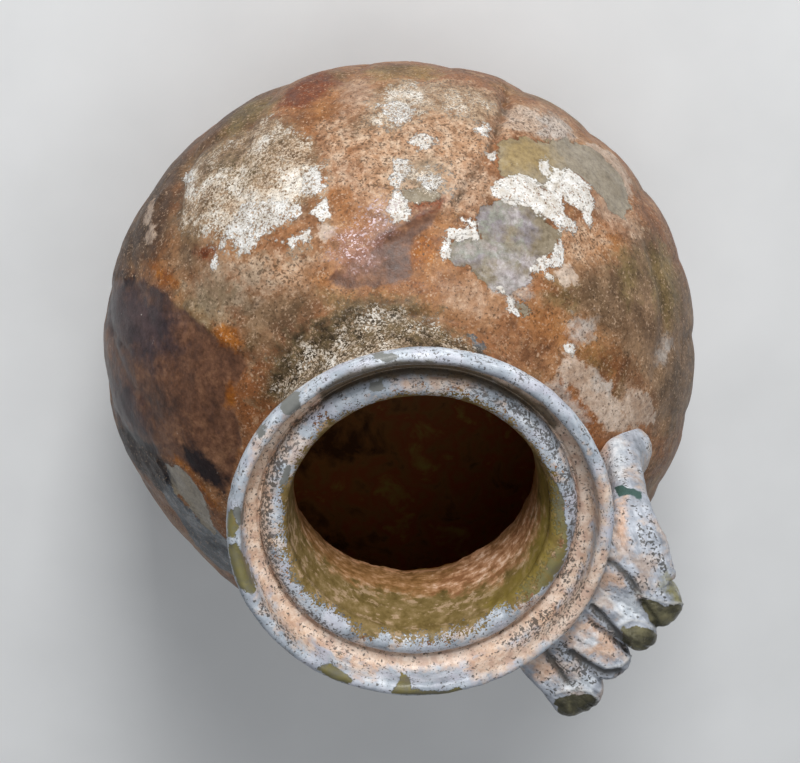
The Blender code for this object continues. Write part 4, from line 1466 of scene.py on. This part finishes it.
def mouthColour(tree, place, patterns, ring):
    # silvery film on the lip and bead, peach earth in the channel, dark flecks where the film has split, and
    # painted shade in the groove at the top
    look = mouthLook
    _, cloud, mottle, grain, ragged = patterns
    stretched = addNode(tree, "Mapping", {"Scale": (1.6, 1.6, 1.0)}, {0: ring})
    drawn = addNode(tree, "TexNoise", {"Scale": perMetre(look["bandMm"]), "Detail": 5, "Roughness": 0.6},
                    {"Vector": stretched})
    chips = addNode(tree, "TexNoise", {"Scale": perMetre(look["chipMm"]), "Detail": 4, "Roughness": 0.6},
                    {"Vector": stretched})
    earth = addNode(tree, "TexNoise", {"Scale": perMetre(look["earthMm"]), "Detail": 6, "Roughness": 0.65},
                    {"Vector": place})
    colour = addNode(tree, "ValToRGB", {"stops": look["silver"]}, {0: blended(tree, cloud, drawn, 0.5)})
    colour = spotted(tree, colour, (earth, 0.50, 0.38, 0.5), look["lilac"])
    for patch in (("channel", 1.6, 1.0, 0.85), ("lipPeach", 2.0, 1.2, 0.85)):
        colour = patched(tree, colour, patch, ragged, look["peach"], mottle)
    colour = spotted(tree, colour, (earth, 0.55, 0.61, 0.6), look["peach"], mottle)
    # painted shade: the groove at the top darkened under the lip
    colour = patched(tree, colour, ("channelShade", 0.5, 0.5, 0.85), ragged, look["shade"])
    density = chips
    for field, amount in (("beadSide", 0.05), ("lipLine", 0.06), ("lipEdge", 0.07)):
        mask = patchMask(tree, field, ragged, 0.8, 0.6, amount)
        density = addNode(tree, "Math", {"operation": "ADD"}, {0: density, 1: mask})
    splits = addNode(tree, "MapRange", {"From Min": 0.3, "From Max": 0.7, "To Min": -0.22, "To Max": 0.10},
                     {"Value": cloud})
    density = addNode(tree, "Math", {"operation": "ADD"}, {0: density, 1: splits})
    flecks = addNode(tree, "MapRange", {"From Min": 0.61, "From Max": 0.68, "To Max": 0.75},
                     {"Value": density})
    onBead = addNode(tree, "Math", {"operation": "MULTIPLY"}, {
        0: patchMask(tree, "beadPepper", ragged, 1.5, 1.2, 0.15),
        1: patchMask(tree, "beadSide", ragged, 0.6, 0.6)})
    peppered = addNode(tree, "Math", {"operation": "MAXIMUM"}, {
        0: onBead, 1: patchMask(tree, "rimPepper", ragged, 1.0, 0.8, 0.12)})
    peppered = addNode(tree, "Math", {"operation": "ADD"}, {0: peppered, 1: grain})
    peppered = addNode(tree, "MapRange", {"From Min": 0.60, "From Max": 0.66, "To Max": 0.85},
                       {"Value": peppered})
    flecks = addNode(tree, "Math", {"operation": "MAXIMUM"}, {0: flecks, 1: peppered})
    colour = covered(tree, colour, flecks, look["fleck"])
    lipBare = patchMask(tree, "lipBare", ragged, 0.9)
    colour = covered(tree, colour, lipBare, look["glass"], cloud)
    return covered(tree, colour, patchMask(tree, "lipGrey", ragged, 0.8), look["grey"]), lipBare


def insideColour(tree, patterns, ring, colour):
    # olive glass with streaks round the neck, torn brown crust at its foot, painted highlights on the torn
    # crust and the throat's edge, and a dark stained film below
    look = mouthLook
    broad, cloud, mottle, _, ragged = patterns
    drawn = addNode(tree, "Mapping", {"Scale": (1.1, 1.1, 1.0)}, {0: ring})
    streaks = addNode(tree, "TexNoise", {"Scale": perMetre(look["streakMm"]), "Detail": 8, "Roughness": 0.66},
                      {"Vector": drawn})
    torn = blended(tree, streaks, mottle, 0.5)
    neck = addNode(tree, "ValToRGB", {"stops": look["neck"]}, {0: blended(tree, mottle, ragged, 0.4)})
    neck = spotted(tree, neck, (torn, 0.53, 0.57, 0.6), look["neckDust"])
    neck = patched(tree, neck, ("neckOlive", 1.6, 1.2, 0.8), ragged, look["neckOlive"], cloud)
    neckMask = patchMask(tree, "neck", ragged, 1.5)
    colour = addNode(tree, "MixRGB", {}, {0: neckMask, 1: colour, 2: neck})
    colour = patched(tree, colour, ("throat", 4.0, 2.5, 0.9), ragged, look["throat"], torn)
    # torn orange crust with a painted highlight on its lit edge
    colour = patched(tree, colour, ("neckRustAndHighlight", 2.4, 1.6, 0.9), ragged, look["neckRustAndHighlight"], torn)
    # light crust along the throat's edge, partly a painted highlight
    colour = patched(tree, colour, ("throatEdge", 2.4, 0.6, 0.8), torn, look["throatEdge"])
    stain = blended(tree, broad, cloud, 0.35)
    return patched(tree, colour, ("inside", 1.5, 1.0, 1.0), ragged, look["inside"], stain)


def vesselPatterns(tree, place):
    look = bodyLook
    broad = addNode(tree, "TexNoise", {"Scale": perMetre(look["broadMm"]), "Detail": 3}, {"Vector": place})
    cloud = addNode(tree, "TexNoise", {"Scale": perMetre(look["cloudMm"]), "Detail": 6, "Roughness": 0.62,
                                       "Distortion": 0.4}, {"Vector": place})
    mottle = addNode(tree, "TexNoise", {"Scale": perMetre(look["mottleMm"]), "Detail": 6, "Roughness": 0.68},
                     {"Vector": place})
    cells = addNode(tree, "TexVoronoi", {"Scale": perMetre(look["grainMm"])}, {"Vector": place})
    cells = cells.outputs["Color"]
    soft = addNode(tree, "TexNoise", {"Scale": perMetre(look["grainMm"]), "Detail": 3}, {"Vector": place})
    ragged = addNode(tree, "TexNoise", {"Scale": perMetre(look["raggedMm"]), "Detail": 8, "Roughness": 0.66,
                                        "Distortion": 0.3}, {"Vector": place})
    return broad, cloud, mottle, blended(tree, cells, soft, 0.34), ragged


def makeVesselFinish():
    made, tree, shader, place = newMaterial("buriedBlownGlass")
    patterns = vesselPatterns(tree, place)
    _, _, mottle, grain, ragged = patterns
    colour, bareMask, plumMask, whiteMask, grains = bodyColour(tree, place, patterns)
    ring = addNode(tree, "Attribute", {"attribute_name": "ring"}).outputs["Vector"]
    colour = insideColour(tree, patterns, ring, colour)
    pale, lipBare = mouthColour(tree, place, patterns, ring)
    mouth = patchMask(tree, "mouth", blended(tree, grain, ragged, 0.8), 3.2, 0.4)
    colour = addNode(tree, "MixRGB", {}, {0: mouth, 1: colour, 2: pale})

    # slick where glass or whole film lies open, dry on the chalky flakes
    rough = addNode(tree, "MapRange", {"From Min": 0.3, "From Max": 0.7, "To Min": 0.34, "To Max": 0.60},
                    {"Value": mottle})
    slick = addNode(tree, "Math", {"operation": "MULTIPLY", 1: 0.5}, {0: plumMask})
    for mask in (bareMask, lipBare):
        slick = addNode(tree, "Math", {"operation": "MAXIMUM"}, {0: slick, 1: mask})
    dry = addNode(tree, "Math", {"operation": "MULTIPLY", 1: 0.6}, {0: grains})
    dry = addNode(tree, "Math", {"operation": "MAXIMUM"}, {0: whiteMask, 1: dry})
    for mask, value in ((slick, 0.24), (dry, 0.8), (mouth, 0.42)):
        rough = addNode(tree, "Mix", {"data_type": "FLOAT", 3: value}, {0: mask, 2: rough})
    gloss = addNode(tree, "Math", {"operation": "MAXIMUM"}, {0: mouth, 1: bareMask})
    gloss = addNode(tree, "MapRange", {"To Min": 0.18, "To Max": 0.5}, {"Value": gloss})
    tree.links.new(gloss.outputs[0], shader.inputs["Specular IOR Level"])
    height = addNode(tree, "Math", {"operation": "MULTIPLY", 1: 0.5}, {0: mottle})
    for mask, amount in ((grains, 0.3), (whiteMask, 0.6), (bareMask, -0.7), (mouth, 0.5), (lipBare, -0.5)):
        height = addNode(tree, "Math", {"operation": "MULTIPLY_ADD", 1: amount}, {0: mask, 2: height})
    joinShader(tree, shader, colour, rough, height)
    return made


# The handle's strap of drawn glass has the same silvery film, split along the way it was drawn.
# The eye sees pearly grey streaked with peach earth, and dark olive glass at the ends of the folds.
handleLook = {
    # degrees and stretch of the streaks: the lower folds, and the stem where it bends over
    "ways": [(-36.0, (6, 1, 1.6)), (-60.0, (5, 1, 5))],
    "earthMm": 8.0, "cloudMm": 6.0, "raggedMm": 3.2, "mottleMm": 2.2, "streakMm": 1.2, "grainMm": 0.65,
    "silver": [(0.36, "70757c"), (0.46, "9297a0"), (0.56, "aeb3bc"), (0.68, "dadde2")],
    "peach": [(0.40, "a68d7b"), (0.50, "bba696"), (0.60, "cdbdb0")],
    # stains: field, how far its edge wanders, its softness (mm) and its strength
    "stains": [("cream", 1.6, 0.9, 0.9), ("white", 1.6, 1.0, 0.9), ("mossy", 2.2, 1.2, 0.9)],
    "cream": [(0.40, "bd987e"), (0.60, "d8bba5")],
    "white": [(0.40, "b4bbc2"), (0.60, "e0e4e8")],
    "mossy": [(0.40, "625c2c"), (0.60, "8a855a")],
    "bare": [(0.36, "302e20"), (0.50, "484534"), (0.64, "706b50")],
    "teal": "304e48", "fleck": "3a3731",
    "edge": "d3d3d0",             # film left on the sharp edges, and a painted highlight along them
}


def handleColour(tree, place, patterns):
    # pearly film and peach earth, dark splits, painted shade in the grooves, slick olive ends, and film with
    # a painted highlight on the sharp edges
    look = handleLook
    streaks, cloud, mottle, grain, ragged = patterns
    colour = addNode(tree, "ValToRGB", {"stops": look["silver"]}, {0: blended(tree, streaks, cloud, 0.5)})
    earth = addNode(tree, "TexNoise", {"Scale": perMetre(look["earthMm"]), "Detail": 6, "Roughness": 0.62},
                    {"Vector": place})
    colour = spotted(tree, colour, (earth, 0.50, 0.60, 0.7), look["peach"], mottle)
    for stain in look["stains"]:
        colour = patched(tree, colour, stain, ragged, look[stain[0]], mottle)
    groove = addNode(tree, "Attribute", {"attribute_name": "groove"}).outputs["Fac"]
    split = addNode(tree, "Math", {"operation": "MULTIPLY_ADD", 1: 0.07}, {
        0: groove, 2: blended(tree, streaks, grain, 0.5)})
    striped = patchMask(tree, "striped", ragged, 1.2, 1.0, 0.06)
    split = addNode(tree, "Math", {"operation": "ADD"}, {0: split, 1: striped})
    flecks = addNode(tree, "MapRange", {"From Min": 0.572, "From Max": 0.61, "To Max": 0.85},
                     {"Value": split})
    # painted shade in the grooves between the folds
    grooveShade = addNode(tree, "Math", {"operation": "MULTIPLY", 1: 0.85}, {0: groove})
    splitsAndShade = addNode(tree, "Math", {"operation": "MAXIMUM"}, {0: flecks, 1: grooveShade})
    colour = covered(tree, colour, splitsAndShade, look["fleck"])
    bareMask = patchMask(tree, "bare", ragged, 0.8)
    colour = covered(tree, colour, bareMask, look["bare"], cloud)
    colour = covered(tree, colour, patchMask(tree, "teal", ragged, 0.5), look["teal"])
    # a pale line on the sharp edges: film left there, and a painted highlight
    ridge = addNode(tree, "Attribute", {"attribute_name": "ridge"}).outputs["Fac"]
    edgeFilmAndHighlight = addNode(tree, "MapRange", {"From Min": 0.3, "To Max": 0.45}, {"Value": ridge})
    return covered(tree, colour, edgeFilmAndHighlight, look["edge"]), bareMask, flecks


def handlePatterns(tree, place):
    # streaks drawn out along the lower folds, and up the stem elsewhere
    look = handleLook
    ways = [addNode(tree, "Mapping", {"vector_type": "TEXTURE", "Rotation": (0, 0, math.radians(turn)),
                                      "Scale": stretch}, {0: place}) for turn, stretch in look["ways"]]
    onFolds = addNode(tree, "Attribute", {"attribute_name": "onFolds"}).outputs["Fac"]
    drawn = addNode(tree, "Mix", {"data_type": "VECTOR"}, {"Factor": onFolds, 4: ways[1], 5: ways[0]})
    drawn = drawn.outputs[1]
    patterns = []
    for size, detail, roughness, where in (
            ("streakMm", 5, 0.6, drawn), ("cloudMm", 5, 0.6, place), ("mottleMm", 6, 0.68, place),
            ("grainMm", 2, 0.5, place), ("raggedMm", 8, 0.66, place)):
        patterns.append(addNode(tree, "TexNoise", {"Scale": perMetre(look[size]), "Detail": detail,
                                                   "Roughness": roughness}, {"Vector": where}))
    return patterns


def makeHandleFinish():
    made, tree, shader, place = newMaterial("drawnGlassStrap")
    patterns = handlePatterns(tree, place)
    streaks, _, mottle, _, _ = patterns
    colour, bareMask, flecks = handleColour(tree, place, patterns)
    rough = addNode(tree, "MapRange", {"From Min": 0.3, "From Max": 0.7, "To Min": 0.34, "To Max": 0.56},
                    {"Value": mottle})
    rough = addNode(tree, "Mix", {"data_type": "FLOAT", 3: 0.2}, {0: bareMask, 2: rough})
    height = addNode(tree, "Math", {"operation": "MULTIPLY_ADD", 1: 0.8}, {0: streaks, 2: mottle})
    height = addNode(tree, "Math", {"operation": "MULTIPLY_ADD", 1: -0.4}, {0: flecks, 2: height})
    joinShader(tree, shader, colour, rough, height)
    return made


for piece, makeFinish in ((ewerVessel, makeVesselFinish), (ewerHandle, makeHandleFinish)):
    piece.data.materials.clear()
    piece.data.materials.append(makeFinish())
print("finishes made")


# Floor, light and camera

studio = {
    "floorSize": 4.0,
    "keyDistance": 1.1, "keySize": 0.35, "keyPower": 12.0,
    "fillDistance": 1.3, "fillSize": 1.0, "fillPower": 5.0,
    "aimHeight": 0.09,            # the lights aim at the middle of the ewer
    "worldTone": "c4cad2", "worldStrength": 0.30,
}


def makeStage():
    bpy.ops.mesh.primitive_plane_add(size=studio["floorSize"], location=(0, 0, 0))
    floor = bpy.context.object
    floor.name = "floor"
    made, tree, shader, place = newMaterial("paleStudioFloor")
    clouds = addNode(tree, "TexNoise", {"Scale": perMetre(60), "Detail": 4}, {"Vector": place})
    shade = addNode(tree, "ValToRGB", {"stops": [(0.35, "dadbdb"), (0.65, "e2e3e3")]}, {0: clouds})
    tree.links.new(shade.outputs[0], shader.inputs["Base Color"])
    shader.inputs["Roughness"].default_value = 0.85
    floor.data.materials.append(made)


def makeLight(name, direction, distance, size, power):
    lamp = bpy.data.lights.new(name, "AREA")
    lamp.size = size
    lamp.energy = power
    lampObject = bpy.data.objects.new(name, lamp)
    bpy.context.scene.collection.objects.link(lampObject)
    middle = Vector((0, 0, studio["aimHeight"]))
    lampObject.location = middle + Vector(direction).normalized() * distance
    lampObject.rotation_euler = (middle - lampObject.location).to_track_quat("-Z", "Y").to_euler()


def makeLights():
    up, left, back = -cameraDown, -cameraRight, -cameraAhead
    keyWay = 0.52 * up - 0.06 * left + 0.85 * back
    makeLight("key", keyWay, studio["keyDistance"], studio["keySize"], studio["keyPower"])
    makeLight("overhead", (0.1, 0.1, 1.0), studio["fillDistance"], studio["fillSize"], studio["fillPower"])
    world = bpy.data.worlds.new("studio")
    world.use_nodes = True
    background = world.node_tree.nodes["Background"]
    background.inputs[0].default_value = fromHex(studio["worldTone"])
    background.inputs[1].default_value = studio["worldStrength"]
    bpy.context.scene.world = world
    bpy.context.scene.view_settings.view_transform = "Standard"


def makeCamera():
    lens = bpy.data.cameras.new("photoCamera")
    lens.sensor_fit = "HORIZONTAL"
    lens.sensor_width = photo["sensor"]
    lens.lens = photo["focalPixels"] / photo["width"] * photo["sensor"]
    lens.clip_start = 0.01
    camera = bpy.data.objects.new("photoCamera", lens)
    bpy.context.scene.collection.objects.link(camera)
    columns = (cameraRight, -cameraDown, -cameraAhead, cameraPlace)
    rows = [[float(column[i]) for column in columns] for i in range(3)] + [[0, 0, 0, 1]]
    camera.matrix_world = Matrix(rows)
    bpy.context.scene.camera = camera


makeStage()
makeLights()
makeCamera()
print("stage, lights and camera set")
